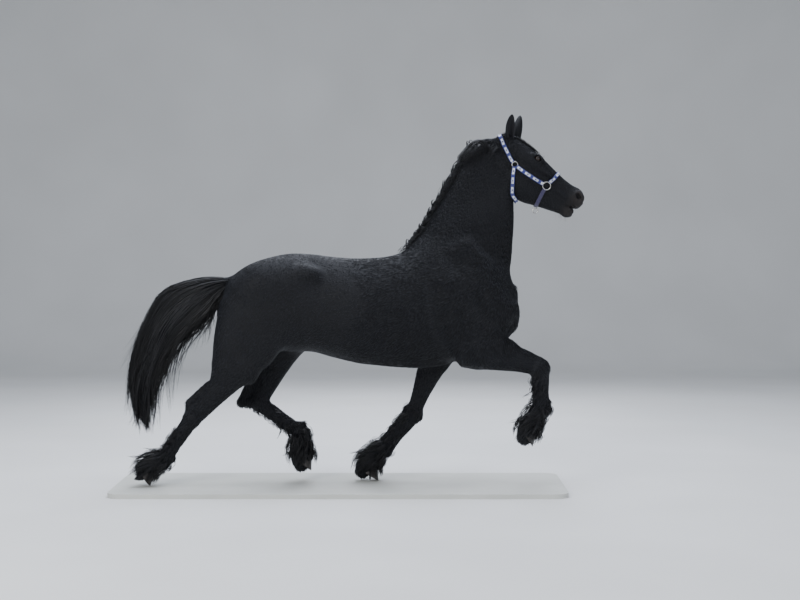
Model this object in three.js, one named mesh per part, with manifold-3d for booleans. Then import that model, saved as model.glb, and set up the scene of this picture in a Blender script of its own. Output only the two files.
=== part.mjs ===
// A Friesian horse in an extended trot, life size, wearing a webbing headcollar, on a flat display base.
// Millimetres, +X towards the horse's head, +Y to its left, +Z up. The origin is the middle of the base's
// underside.
//
// The flesh is one smooth body. It is described by a field: the distance to the skin, negative inside. Sweeps,
// which carry a section along a line, and muscles, which are ellipsoids, are blended in that field, and each
// named piece is the part of the body between two cuts. Heights are measured from the ground, the base's top.

import * as THREE from "three";
import { mergeVertices } from "three/addons/utils/BufferGeometryUtils.js";
import Module from "manifold-3d";

const wasm = await Module();
wasm.setup();

// Driving dimensions.
const BASE = { length: 2950, width: 900, height: 30, corner: 90 };
const GAP = 0.3; // between pieces that touch
const SHORTEST_EDGE = { cut: 0.08, face: 2.6, fused: 8 }; // shorter edges are closed up
const POLL = { x: 1085, z: 2270 };
const HEAD_PITCH = THREE.MathUtils.degToRad(39.1); // the face points this far below level
const HOOF = {
  sole: 142, halfWidth: 64, wallRun: 60, wallRise: 77, heelRun: 132, heelRise: 45, coronetHalf: 52,
};
const EYE = { s: 243, n: 34, y: 77, radius: 21, lid: 5, openLong: 23, openHigh: 13 };
// How deep a lock's root sits, how fast it turns to its lie, and its tilt, by which one lies over the next.
const LOCK = { sunk: 22, bend: 0.16, substeps: 5, tilt: 0.17 };
const MANE = { roots: 8, length: 440, width: 98, thick: 8, steps: 5, from: 0.02, to: 0.77, layerStep: 21 };
const TUFTS = { count: 4, length: 100, width: 52, thick: 10, steps: 3 };
const FORELOCK = { count: 5, length: 205, width: 44, thick: 8, steps: 4 };
const TAIL_HAIR = { across: 5, width: 104, thick: 11, steps: 5, tilt: 0.13, loose: 3 };
const FEATHER = { width: 104, thick: 10, longest: 132, shortest: 66 };
const STRAP = { width: 25, thick: 3.4, clearance: 4, throatClearance: 8 };
const RIGHT = -1; // the sign of Y on the horse's right side, which faces the viewer
const LEFT = 1;

// Joints of the legs in the trot: x, z, and the distance y from the middle plane. The toe is on the ground or
// in the air, roll is how far the heel is lifted above the toe, in degrees, and flow is the way in which the
// leg's long hair streams.
const HIND = {
  [RIGHT]: {
    hip: [-470, 1190, 148], knee: [-652, 772, 158], hock: [-968, 440, 135], fetlock: [-1150, 162, 122],
    toe: [-1240, 0, 118], roll: 58, flow: [-0.92, -0.3],
  },
  [LEFT]: {
    hip: [-470, 1190, 148], knee: [-360, 898, 162], hock: [-556, 526, 132], fetlock: [-254, 317, 122],
    toe: [-198, 67, 118], roll: 40, flow: [-0.8, -0.75],
  },
};
const FORE = {
  [RIGHT]: {
    shoulder: [1060, 1140, 150], elbow: [853, 872, 158], knee: [1310, 768, 128], fetlock: [1327, 503, 120],
    toe: [1263, 257, 118], roll: 57, flow: [-0.75, -0.5],
  },
  [LEFT]: {
    shoulder: [1010, 1130, 150], elbow: [650, 845, 158], knee: [486, 454, 128], fetlock: [292, 213, 120],
    toe: [253, 0, 118], roll: 32, flow: [-1, 0.15],
  },
};

// Sections of the trunk along x: top, underside, height of the widest place, half width there.
const TRUNK = [
  [-780, 1205, 1030, 1115, 50],
  [-745, 1328, 970, 1130, 118],
  [-690, 1390, 935, 1150, 172],
  [-600, 1450, 908, 1170, 226],
  [-480, 1494, 888, 1180, 264],
  [-330, 1523, 874, 1180, 282],
  [-180, 1519, 872, 1155, 278],
  [-50, 1503, 838, 1125, 288],
  [120, 1491, 800, 1105, 305],
  [280, 1498, 782, 1100, 308],
  [400, 1524, 772, 1110, 296],
  [520, 1560, 768, 1130, 272],
  [640, 1560, 778, 1150, 250],
  [780, 1540, 815, 1160, 234],
  [900, 1500, 845, 1170, 222],
  [1000, 1450, 880, 1180, 205],
  [1080, 1390, 940, 1185, 176],
  [1138, 1310, 1030, 1185, 120],
];

// The neck from the poll down: x, z, depth to the crest, depth to the throat, half width.
const NECK = [
  [1030, 2205, 62, 96, 54],
  [998, 2140, 124, 150, 62],
  [965, 2055, 171, 176, 70],
  [942, 1960, 209, 206, 80],
  [919, 1862, 236, 234, 92],
  [896, 1770, 260, 257, 106],
  [868, 1670, 286, 280, 123],
  [838, 1570, 316, 305, 143],
  [802, 1470, 332, 330, 166],
  [762, 1360, 330, 345, 190],
];

// The skull and nose in the head's own frame, from the poll to the muzzle: s, depth to the face, depth below,
// half width. The line itself lies at n = 0, the jaw is a second sweep.
const SKULL = [
  [-10, 40, 70, 58],
  [60, 55, 75, 68],
  [120, 63, 75, 80],
  [185, 69, 70, 92],
  [246, 66, 62, 96],
  [310, 61, 70, 80],
  [393, 53, 76, 63],
  [475, 48, 72, 52],
  [553, 51, 66, 50],
  [601, 48, 62, 54],
  [628, 32, 58, 50],
];
const JAW = [
  // s, n of the line, depth up, depth down, half width
  [215, -120, 110, 105, 62],
  [270, -135, 120, 118, 68],
  [330, -132, 110, 117, 66],
  [400, -125, 80, 96, 54],
  [470, -120, 66, 73, 42],
  [535, -112, 50, 56, 37],
  [590, -106, 42, 42, 38],
  [624, -104, 34, 34, 36],
];

const CHEEK = [
  // s, n of the line, depth up and down, half width
  [70, -50, 60, 56],
  [150, -70, 76, 64],
  [246, -66, 70, 78],
  [330, -62, 66, 66],
  [400, -60, 56, 54],
  [480, -60, 44, 45],
  [553, -62, 32, 44],
  [595, -62, 24, 42],
];

// The tail from the dock to the tips: x, z, depth to its outer side, depth to its inner side, half width.
const TAIL = [
  [-680, 1345, 28, 40, 40],
  [-790, 1322, 64, 84, 50],
  [-930, 1262, 108, 158, 60],
  [-1060, 1156, 170, 166, 66],
  [-1170, 1012, 140, 134, 66],
  [-1250, 850, 116, 118, 60],
  [-1300, 690, 86, 108, 54],
  [-1304, 545, 66, 94, 48],
  [-1296, 440, 52, 80, 42],
  [-1288, 370, 44, 66, 36],
];

const PALETTE = {
  coat: { color: 0x15161a, roughness: 0.62, metalness: 0 },
  hair: { color: 0x0f0f12, roughness: 0.55, metalness: 0 },
  horn: { color: 0x4a443d, roughness: 0.6, metalness: 0 },
  eye: { color: 0x120b08, roughness: 0.12, metalness: 0 },
  webbing: { color: 0x2c49a8, roughness: 0.8, metalness: 0 },
  metal: { color: 0xb9bcc0, roughness: 0.3, metalness: 1 },
  base: { color: 0xb8b9b4, roughness: 0.75, metalness: 0 },
};

// Small sums.

const blendMin = (a, b, k) => {
  const h = Math.max(k - Math.abs(a - b), 0) / k;
  return Math.min(a, b) - (h * h * k) / 4;
};

const blendMax = (a, b, k) => -blendMin(-a, -b, k);

// A smooth run of values through hand-set stations, whose first number is the place along the run.
function smoothRun(stations) {
  const slope = (i, c) => {
    const low = Math.max(i - 1, 0);
    const high = Math.min(i + 1, stations.length - 1);
    return (stations[high][c] - stations[low][c]) / (stations[high][0] - stations[low][0]);
  };
  const slopes = stations.map((row, i) => row.map((_, c) => (c === 0 ? 0 : slope(i, c))));
  return (x) => {
    const end = stations.length - 1;
    const at = Math.min(Math.max(x, stations[0][0]), stations[end][0]);
    let i = 0;
    while (i < end - 1 && at > stations[i + 1][0]) i += 1;
    const span = stations[i + 1][0] - stations[i][0];
    const t = (at - stations[i][0]) / span;
    const t2 = t * t;
    const t3 = t2 * t;
    return stations[i].map((value, c) =>
      c === 0
        ? at
        : value * (2 * t3 - 3 * t2 + 1) +
          slopes[i][c] * span * (t3 - 2 * t2 + t) +
          stations[i + 1][c] * (3 * t2 - 2 * t3) +
          slopes[i + 1][c] * span * (t3 - t2),
    );
  };
}

// The distance to a section with half axes a, b and c, by its steepness at the point.
function sectionDistance(u, v, w, a, b, c, power) {
  const pu = Math.pow(Math.abs(u) / a, power);
  const pv = Math.pow(Math.abs(v) / b, power);
  const pw = w === 0 ? 0 : Math.pow(Math.abs(w) / c, power);
  const sum = pu + pv + pw;
  const f = Math.pow(sum, 1 / power);
  if (f < 0.25) return (f - 1) * Math.min(a, b);
  const scale = Math.pow(f, 1 - power);
  const gu = u === 0 ? 0 : (pu / Math.abs(u)) * scale;
  const gv = v === 0 ? 0 : (pv / Math.abs(v)) * scale;
  const gw = w === 0 ? 0 : (pw / Math.abs(w)) * scale;
  return (f - 1) / Math.hypot(gu, gv, gw);
}

// Fields. Each takes x, y, z and gives the distance to its surface.

// A section carried along a line in the upright plane. A station is x, z, y, depth behind the line, depth in
// front of it, half width. Going down a leg, "in front" is towards the head.
function sweep(stations, { power = 2, powerBehind = power, cap = 0.8, steps = 4 } = {}) {
  const lengths = stations.map((_, i) =>
    i === 0 ? 0 : Math.hypot(stations[i][0] - stations[i - 1][0], stations[i][1] - stations[i - 1][1]),
  );
  let run = 0;
  const keyed = stations.map((row, i) => {
    run += lengths[i];
    return [run, ...row];
  });
  const at = smoothRun(keyed);
  const count = (stations.length - 1) * steps;
  const line = Array.from({ length: count + 1 }, (_, i) => at((run * i) / count));
  return (x, y, z) => {
    let best = Infinity;
    let index = 0;
    let along = 0;
    for (let i = 0; i < count; i += 1) {
      const p = line[i];
      const q = line[i + 1];
      const dx = q[1] - p[1];
      const dz = q[2] - p[2];
      const t = Math.min(Math.max(((x - p[1]) * dx + (z - p[2]) * dz) / (dx * dx + dz * dz), 0), 1);
      const ex = x - p[1] - t * dx;
      const ez = z - p[2] - t * dz;
      const distance = ex * ex + ez * ez;
      if (distance < best) {
        best = distance;
        index = i;
        along = t;
      }
    }
    const p = line[index];
    const q = line[index + 1];
    const [, px, pz, py, behind, front, half] = p.map((value, c) => value + (q[c] - value) * along);
    const length = Math.hypot(q[1] - p[1], q[2] - p[2]);
    const dx = (q[1] - p[1]) / length;
    const dz = (q[2] - p[2]) / length;
    const ex = x - px;
    const ez = z - pz;
    const side = ex * -dz + ez * dx;
    const beyond = (index === 0 && along === 0) || (index === count - 1 && along === 1);
    const w = beyond ? ex * dx + ez * dz : 0;
    const u = beyond ? side : Math.sign(side) * Math.sqrt(best);
    const depth = side > 0 ? front : behind;
    const round = cap * Math.min(depth, half);
    return sectionDistance(u, y - py, w, depth, half, round, side > 0 ? power : powerBehind);
  };
}

// An ellipsoid, tilted in the upright plane by an angle in degrees.
function muscle([cx, cz, cy], [rx, rz, ry], tilt = 0) {
  const cos = Math.cos(THREE.MathUtils.degToRad(tilt));
  const sin = Math.sin(THREE.MathUtils.degToRad(tilt));
  return (x, y, z) => {
    const dx = x - cx;
    const dz = z - cz;
    return sectionDistance(dx * cos + dz * sin, y - cy, -dx * sin + dz * cos, rx, ry, rz, 2);
  };
}

const joined = (parts) => (x, y, z) => {
  let distance = Infinity;
  for (const [field, k] of parts) {
    const d = field(x, y, z);
    distance = distance === Infinity ? d : blendMin(distance, d, k);
  }
  return distance;
};

// Stations along one bone: t from its upper joint to its lower, depth behind, depth in front, half width.
function bone(from, to, side, rows, options) {
  const stations = rows.map(([t, behind, front, half]) => [
    THREE.MathUtils.lerp(from[0], to[0], t),
    THREE.MathUtils.lerp(from[1], to[1], t),
    side * THREE.MathUtils.lerp(from[2], to[2], t),
    behind, front, half,
  ]);
  return sweep(stations, options);
}

const unit = (from, to) => {
  const length = Math.hypot(to[0] - from[0], to[1] - from[1]);
  return [(to[0] - from[0]) / length, (to[1] - from[1]) / length];
};

// A point off a bone: t along it, then forward of it.
function offBone(from, to, t, forward) {
  const [dx, dz] = unit(from, to);
  return [
    THREE.MathUtils.lerp(from[0], to[0], t) - dz * forward,
    THREE.MathUtils.lerp(from[1], to[1], t) + dx * forward,
    THREE.MathUtils.lerp(from[2], to[2], t),
  ];
}

// The foot's own frame: the toe, the way to the heel and the way up from the sole.
function footFrame(leg) {
  const roll = THREE.MathUtils.degToRad(leg.roll);
  const heel = [-Math.cos(roll), Math.sin(roll)];
  const up = [Math.sin(roll), Math.cos(roll)];
  const at = (run, rise) => [
    leg.toe[0] + heel[0] * run + up[0] * rise,
    leg.toe[1] + heel[1] * run + up[1] * rise,
    leg.toe[2],
  ];
  const coronet = at((HOOF.wallRun + HOOF.heelRun) / 2, (HOOF.wallRise + HOOF.heelRise) / 2);
  return { heel, up, at, coronet };
}

// The lower leg is alike in front and behind: cannon, fetlock and pastern.
function lowerLeg(joint, leg, side, thick) {
  const foot = footFrame(leg);
  const cannon = bone(joint, leg.fetlock, side, [
    [0.0, 52 * thick, 50 * thick, 42 * thick],
    [0.25, 48 * thick, 46 * thick, 37 * thick],
    [0.6, 48 * thick, 39 * thick, 34 * thick],
    [0.85, 50 * thick, 41 * thick, 36 * thick],
    [1.0, 52 * thick, 43 * thick, 41 * thick],
  ]);
  const pastern = bone(leg.fetlock, foot.coronet, side, [
    [0.0, 48 * thick, 42 * thick, 40 * thick],
    [0.35, 40 * thick, 37 * thick, 36 * thick],
    [0.7, 40 * thick, 40 * thick, 42 * thick],
    [1.05, 44 * thick, 44 * thick, 50 * thick],
  ]);
  const ergot = muscle(withSide(offBone(joint, leg.fetlock, 1.0, -36), side), [30, 36, 26]);
  return joined([[cannon, 1], [pastern, 22], [ergot, 20]]);
}

const withSide = (point, side) => [point[0], point[1], side * point[2]];

function hindLeg(side) {
  const leg = HIND[side];
  const { hip, knee, hock } = leg;
  const straight = side === RIGHT ? 1 : 0; // the right leg is stretched behind, its hamstrings long and full
  const thigh = bone(hip, knee, side, [
    [-0.3, 190, 150, 96],
    [0.0, 258, 196, 122],
    [0.35, 250, 205, 126],
    [0.7, 215, 182, 112],
    [1.0, 168, 120, 92],
  ], { power: 2.2 });
  const gaskin = bone(knee, hock, side, [
    [-0.05, 122 + 34 * straight, 100, 84],
    [0.18, 104 + 16 * straight, 92, 78],
    [0.42, 86, 78, 64],
    [0.72, 66, 66, 50],
    [0.97, 54, 58, 44],
  ]);
  const hockPoint = offBone(hock, leg.fetlock, -0.27, -72);
  const heelBone = sweep([
    [...withSide(hock, side), 44, 44, 36],
    [...withSide(hockPoint, side), 26, 26, 22],
  ]);
  const tendon = sweep([
    [...withSide(offBone(knee, hock, 0.45, -68), side), 38 - 8 * straight, 62 - 34 * straight, 24],
    [...withSide(offBone(knee, hock, 0.76, -98 + 16 * straight), side), 32 - 6 * straight, 74 - 44 * straight, 20],
    [...withSide(hockPoint, side), 22, 22, 20],
  ]);
  const kneecap = muscle(withSide(offBone(hip, knee, 1.0, 78), side), [46, 56, 46]);
  const hamstring = sweep([
    [-690, 1180, side * 105, 92, 90, 84],
    [...withSide(offBone(hip, knee, 0.75, -120), side), 96, 96, 84],
    [...withSide(offBone(knee, hock, 0.22, -52), side), 62, 60, 56],
  ]);
  const haunch = muscle([-430, 1320, side * 150], [240, 150, 132], 12);
  const hipPoint = muscle([-215, 1385, side * 222], [90, 60, 46]);
  return joined([
    [thigh, 1], [gaskin, 60], [kneecap, 40], [hamstring, 60], [haunch, 70], [hipPoint, 60],
    [heelBone, 26], [tendon, 22], [lowerLeg(hock, leg, side, 1.06), 26],
  ]);
}

function foreLeg(side) {
  const leg = FORE[side];
  const { shoulder, elbow, knee } = leg;
  const upperArm = bone(shoulder, elbow, side, [
    [-0.1, 96, 84, 78],
    [0.3, 130, 92, 84],
    [0.7, 140, 96, 84],
    [1.0, 108, 96, 78],
  ]);
  const blade = sweep([
    [790, 1540, side * 118, 92, 92, 60],
    [880, 1380, side * 148, 128, 116, 76],
    [985, 1230, side * 158, 120, 100, 78],
    [...withSide(shoulder, side), 82, 82, 72],
  ]);
  const triceps = sweep([
    [700, 1330, side * 168, 92, 92, 62],
    [745, 1130, side * 176, 120, 118, 74],
    [...withSide(offBone(shoulder, elbow, 0.95, -40), side), 86, 86, 70],
  ]);
  const raised = side === RIGHT ? 1 : 0; // the right foreleg is raised, its forearm full above
  const forearm = bone(elbow, knee, side, [
    [-0.05, 104 - 12 * raised, 92, 76],
    [0.15, 104 - 16 * raised, 92 + 30 * raised, 74],
    [0.4, 86 - 16 * raised, 72 + 64 * raised, 60],
    [0.7, 62 - 12 * raised, 54 + 58 * raised, 47],
    [0.95, 50 - 5 * raised, 49 + 34 * raised, 44],
  ]);
  const fold = muscle([1062, 924, side * 132], [88, 56, 60], -12); // skin stretched over the raised arm
  const carpus = muscle(withSide(offBone(elbow, knee, 1.0, 3 + 12 * raised), side), [58, 60, 50]);
  const pisiform = muscle(withSide(offBone(elbow, knee, 0.99, -42), side), [26, 32, 22]);
  return joined([
    [upperArm, 1], [blade, 60], [triceps, 60], [forearm, 55], [carpus, 26], [pisiform, 22],
    [lowerLeg(knee, leg, side, 0.94), 26],
    ...(raised ? [[fold, 50]] : []),
  ]);
}

// The head works in its own frame: s from the poll down the face, n out of the face.
const HEAD_AXIS = [Math.cos(HEAD_PITCH), -Math.sin(HEAD_PITCH)];
const HEAD_NORMAL = [Math.sin(HEAD_PITCH), Math.cos(HEAD_PITCH)];
const fromHead = (s, n, y) => [
  POLL.x + HEAD_AXIS[0] * s + HEAD_NORMAL[0] * n,
  y,
  POLL.z + HEAD_AXIS[1] * s + HEAD_NORMAL[1] * n,
];

function headField() {
  const skullLine = SKULL.map(([s, up, down, half]) => [s, 0, 0, down, up, half]);
  const jawLine = JAW.map(([s, n, up, down, half]) => [s, n, 0, down, up, half]);
  const cheekLine = CHEEK.map(([s, n, depth, half]) => [s, n, 0, depth, depth, half]);
  const skull = sweep(skullLine, { power: 2.3, cap: 0.75 });
  const jaw = sweep(jawLine, { power: 2.2, cap: 0.9 });
  const middle = sweep(cheekLine, { power: 2.4 });
  const parts = [
    [skull, 1],
    [jaw, 30],
    [middle, 30],
    [muscle([594, 2, 0], [66, 58, 59]), 22],
    [muscle([628, -34, 0], [34, 34, 46]), 16],
    [muscle([624, -90, 0], [32, 24, 42]), 10],
    [muscle([608, -116, 0], [36, 33, 38]), 14],
  ];
  const paired = (y) => [
    [muscle([250, 50, 80 * y], [54, 20, 26], 4), 22], // the arch over the eye
    [muscle([300, -8, 78 * y], [90, 16, 14], 4), 26], // the crest of the face
    [muscle([265, -132, 34 * y], [104, 106, 42]), 24], // the cheek
    [muscle([EYE.s, EYE.n, EYE.y * y], [33, 27, 25]), 16], // the lids
    [muscle([606, 16, 44 * y], [34, 26, 20], -30), 12], // the nostril's wing
  ];
  const right = joined([...parts, ...paired(RIGHT)]);
  const left = joined([...parts, ...paired(LEFT)]);
  const dent = (y) => muscle([196, 66, 70 * y], [26, 16, 20], 4);
  const dents = { [RIGHT]: dent(RIGHT), [LEFT]: dent(LEFT) };
  return (x, y, z) => {
    const dx = x - POLL.x;
    const dz = z - POLL.z;
    const s = dx * HEAD_AXIS[0] + dz * HEAD_AXIS[1];
    const n = dx * HEAD_NORMAL[0] + dz * HEAD_NORMAL[1];
    const side = y < 0 ? RIGHT : LEFT;
    const solid = side === RIGHT ? right(s, y, n) : left(s, y, n);
    return blendMax(solid, -dents[side](s, y, n), 12);
  };
}

function trunkField() {
  const at = smoothRun(TRUNK);
  const first = TRUNK[0][0];
  const last = TRUNK[TRUNK.length - 1][0];
  return (x, y, z) => {
    const [, top, bottom, wide, half] = at(x);
    const w = x < first ? x - first : Math.max(x - last, 0);
    const u = z - wide;
    return sectionDistance(u, y, w, u > 0 ? top - wide : wide - bottom, half, 34, 2.25);
  };
}

const trunk = trunkField();
const neck = sweep(NECK.map(([x, z, crest, throat, half]) => [x, z, 0, crest, throat, half]), {
  power: 2.2, powerBehind: 1.75, cap: 0.9,
});
const breast = {
  [RIGHT]: muscle([1085, 1110, -72], [78, 120, 84], 10),
  [LEFT]: muscle([1075, 1110, 72], [78, 120, 84], 10),
};
// The pad of the crest behind the poll, which the root of the mane thickens.
const crestPad = sweep([
  [838, 2122, 0, 34, 34, 28],
  [905, 2196, 0, 42, 42, 32],
  [968, 2236, 0, 44, 44, 34],
  [1016, 2238, 0, 40, 40, 34],
]);
const legs = { [RIGHT]: [hindLeg(RIGHT), foreLeg(RIGHT)], [LEFT]: [hindLeg(LEFT), foreLeg(LEFT)] };
const head = headField();

// The whole animal without its hair. The legs of each side blend with the trunk but not with each other.
function body(x, y, z) {
  let core = trunk(x, y, z);
  if (z > 1150 && x > 350) core = blendMin(core, neck(x, y, z), 110);
  if (z > 2040 && x > 760 && x < 1110) core = blendMin(core, crestPad(x, y, z), 36);
  const halves = [RIGHT, LEFT].map((side) => {
    let d = core;
    if (x < 60) d = blendMin(d, legs[side][0](x, y, z), 60);
    if (x > 40) d = blendMin(d, legs[side][1](x, y, z), 60);
    if (x > 850) d = blendMin(d, breast[side](x, y, z), 50);
    return d;
  });
  let whole = Math.min(...halves);
  if (x > 880 && z > 1600) whole = blendMin(whole, head(x, y, z), 34);
  return whole;
}

// Turning a field into a closed surface.

// A cell's face with two opposite corners inside and two outside would pinch the surface, so one corner
// changes side.
function separateDiagonals(values, [ni, nj, nk], index) {
  const steps = [[1, 0, 0], [0, 1, 0], [0, 0, 1]];
  let changed = true;
  for (let turn = 0; changed && turn < 12; turn += 1) {
    changed = false;
    for (let i = 1; i < ni - 2; i += 1) {
      for (let j = 1; j < nj - 2; j += 1) {
        for (let k = 1; k < nk - 2; k += 1) {
          for (let a = 0; a < 3; a += 1) {
            const [p, q] = [steps[a], steps[(a + 1) % 3]];
            const face = [
              index(i, j, k),
              index(i + p[0], j + p[1], k + p[2]),
              index(i + p[0] + q[0], j + p[1] + q[1], k + p[2] + q[2]),
              index(i + q[0], j + q[1], k + q[2]),
            ];
            const [w, x, y, z] = face.map((at) => values[at] < 0);
            if (w !== y || x !== z || w === x) continue;
            const outside = face.filter((at) => values[at] >= 0);
            const near = values[outside[0]] < values[outside[1]] ? outside[0] : outside[1];
            values[near] = -1e-3;
            changed = true;
          }
        }
      }
    }
  }
}

// A block of cells laid along three directions. Its corners lo and hi are measured in them, from at.
function polygonise(field, { at, along, lo, hi, cell }) {
  const e1 = new THREE.Vector3(...along).normalize();
  const e2 = new THREE.Vector3(0, 1, 0);
  const e3 = new THREE.Vector3().crossVectors(e1, e2).normalize();
  e2.crossVectors(e3, e1);
  const counts = lo.map((low, i) => Math.ceil((hi[i] - low) / cell[i]) + 1);
  const place = (i, j, k) =>
    new THREE.Vector3(...at)
      .addScaledVector(e1, lo[0] + i * cell[0])
      .addScaledVector(e2, lo[1] + j * cell[1])
      .addScaledVector(e3, lo[2] + k * cell[2]);
  const [ni, nj, nk] = counts;
  const index = (i, j, k) => (i * nj + j) * nk + k;
  const values = new Float64Array(ni * nj * nk);
  for (let i = 0; i < ni; i += 1) {
    for (let j = 0; j < nj; j += 1) {
      for (let k = 0; k < nk; k += 1) {
        const edge = i === 0 || j === 0 || k === 0 || i === ni - 1 || j === nj - 1 || k === nk - 1;
        const p = place(i, j, k);
        const value = field(p.x, p.y, p.z);
        values[index(i, j, k)] = edge ? Math.max(value, 1) : value === 0 ? 1e-6 : value;
      }
    }
  }
  separateDiagonals(values, counts, index);
  const corners = [0, 1, 2, 3, 4, 5, 6, 7].map((c) => [c & 1, (c >> 1) & 1, (c >> 2) & 1]);
  const edges = [];
  for (let a = 0; a < 8; a += 1) {
    for (const bit of [1, 2, 4]) if (!(a & bit)) edges.push([a, a | bit]);
  }
  const positions = [];
  const vertexOf = new Map();
  const reach = Math.min(...cell) * 0.75;
  const step = 0.5;
  for (let i = 0; i < ni - 1; i += 1) {
    for (let j = 0; j < nj - 1; j += 1) {
      for (let k = 0; k < nk - 1; k += 1) {
        const at8 = corners.map(([a, b, c]) => values[index(i + a, j + b, k + c)]);
        const inside = at8.filter((value) => value < 0).length;
        if (inside === 0 || inside === 8) continue;
        const sum = [0, 0, 0];
        let crossings = 0;
        for (const [a, b] of edges) {
          if (at8[a] < 0 === at8[b] < 0) continue;
          const t = at8[a] / (at8[a] - at8[b]);
          for (let c = 0; c < 3; c += 1) sum[c] += corners[a][c] + t * (corners[b][c] - corners[a][c]);
          crossings += 1;
        }
        const p = place(i + sum[0] / crossings, j + sum[1] / crossings, k + sum[2] / crossings);
        const start = p.clone();
        for (let turn = 0; turn < 3; turn += 1) {
          const value = field(p.x, p.y, p.z);
          const g = new THREE.Vector3(
            field(p.x + step, p.y, p.z) - value,
            field(p.x, p.y + step, p.z) - value,
            field(p.x, p.y, p.z + step) - value,
          ).divideScalar(step);
          const steep = Math.max(g.lengthSq(), 0.05);
          p.addScaledVector(g, -value / steep);
          const moved = p.clone().sub(start);
          if (moved.length() > reach) p.copy(start).addScaledVector(moved.normalize(), reach);
        }
        vertexOf.set(index(i, j, k), positions.length / 3);
        positions.push(p.x, p.y, p.z);
      }
    }
  }
  const triangles = [];
  const point = (v) => new THREE.Vector3().fromArray(positions, 3 * v);
  const addQuad = (quad, flip) => {
    const [a, b, c, d] = flip ? quad.slice().reverse() : quad;
    if (point(a).distanceToSquared(point(c)) <= point(b).distanceToSquared(point(d))) {
      triangles.push(a, b, c, a, c, d);
    } else {
      triangles.push(b, c, d, b, d, a);
    }
  };
  const v = (i, j, k) => vertexOf.get(index(i, j, k));
  for (let i = 0; i < ni - 1; i += 1) {
    for (let j = 0; j < nj - 1; j += 1) {
      for (let k = 0; k < nk - 1; k += 1) {
        const here = values[index(i, j, k)] < 0;
        if (j > 0 && k > 0 && here !== values[index(i + 1, j, k)] < 0) {
          addQuad([v(i, j - 1, k - 1), v(i, j, k - 1), v(i, j, k), v(i, j - 1, k)], !here);
        }
        if (i > 0 && k > 0 && here !== values[index(i, j + 1, k)] < 0) {
          addQuad([v(i - 1, j, k - 1), v(i - 1, j, k), v(i, j, k), v(i, j, k - 1)], !here);
        }
        if (i > 0 && j > 0 && here !== values[index(i, j, k + 1)] < 0) {
          addQuad([v(i - 1, j - 1, k), v(i, j - 1, k), v(i, j, k), v(i - 1, j, k)], !here);
        }
      }
    }
  }
  return solidOf(positions, triangles);
}

// Closed solids.

function solidOf(positions, triangles) {
  const solid = new wasm.Manifold(
    new wasm.Mesh({
      numProp: 3,
      vertProperties: new Float32Array(positions),
      triVerts: new Uint32Array(triangles),
    }),
  );
  return solid.volume() < 0 ? solidOf(positions, triangles.slice().reverse()) : solid;
}

function solidFromGeometry(geometry) {
  const bare = geometry.clone();
  bare.deleteAttribute("normal");
  bare.deleteAttribute("uv");
  const merged = mergeVertices(bare, 1e-3);
  return solidOf(merged.attributes.position.array, Array.from(merged.index.array));
}

// Only the largest closed surface of a solid.
function largest(solid) {
  return solid.decompose().reduce((best, part) => (part.volume() > best.volume() ? part : best));
}

// Edges shorter than a limit are closed up, wherever the surface stays closed and no face turns over.
function closeShortEdges(solid, shortest) {
  const mesh = solid.getMesh();
  const points = Array.from({ length: mesh.numVert }, (_, i) =>
    new THREE.Vector3().fromArray(mesh.vertProperties, 3 * i),
  );
  const faces = Array.from({ length: mesh.numTri }, (_, i) =>
    Array.from(mesh.triVerts.slice(3 * i, 3 * i + 3)),
  );
  const around = points.map(() => new Set());
  faces.forEach((face, f) => face.forEach((corner) => around[corner].add(f)));
  const facing = (face) => {
    const [a, b, c] = face.map((corner) => points[corner]);
    return b.clone().sub(a).cross(c.clone().sub(a));
  };
  const linked = (corner) => {
    const corners = [...around[corner]].flatMap((f) => faces[f]);
    return new Set(corners.filter((other) => other !== corner));
  };
  const closeUp = (gone, kept) => {
    const shared = [...around[gone]].filter((f) => faces[f].includes(kept));
    const beside = linked(kept);
    const common = [...linked(gone)].filter((corner) => beside.has(corner));
    if (shared.length !== 2 || common.length !== 2) return false;
    const moved = [...around[gone]].filter((f) => !shared.includes(f));
    const swapped = moved.map((f) => faces[f].map((corner) => (corner === gone ? kept : corner)));
    const turned = moved.some((f, i) => {
      const before = facing(faces[f]);
      const after = facing(swapped[i]);
      return before.length() > 1e-2 && after.dot(before) < 0.3 * after.length() * before.length() + 1e-6;
    });
    if (turned) return false;
    for (const f of shared) {
      for (const corner of faces[f]) around[corner].delete(f);
      faces[f] = null;
    }
    moved.forEach((f, i) => {
      faces[f] = swapped[i];
      around[kept].add(f);
    });
    around[gone].clear();
    return true;
  };
  let closed = true;
  while (closed) {
    closed = false;
    for (const f of faces.keys()) {
      for (let e = 0; faces[f] && e < 3; e += 1) {
        const a = faces[f][e];
        const b = faces[f][(e + 1) % 3];
        if (points[a].distanceTo(points[b]) < shortest && (closeUp(a, b) || closeUp(b, a))) closed = true;
      }
    }
  }
  const kept = faces.filter((face) => face !== null).flat();
  return solidOf(points.flatMap((p) => p.toArray()), kept);
}

function geometryFromSolid(solid) {
  const mesh = closeShortEdges(solid, SHORTEST_EDGE.cut).getMesh();
  const geometry = new THREE.BufferGeometry();
  geometry.setAttribute("position", new THREE.BufferAttribute(new Float32Array(mesh.vertProperties), 3));
  geometry.setIndex(new THREE.BufferAttribute(new Uint32Array(mesh.triVerts), 1));
  const faceted = geometry.toNonIndexed();
  faceted.computeVertexNormals();
  return faceted;
}

// Cuts. Each keeps the side that the direction points to, half a gap away from the plane.
function keep(solid, [x, z], [dx, dz]) {
  const length = Math.hypot(dx, dz);
  const normal = [dx / length, 0, dz / length];
  return solid.trimByPlane(normal, x * normal[0] + z * normal[2] + GAP / 2);
}

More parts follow.
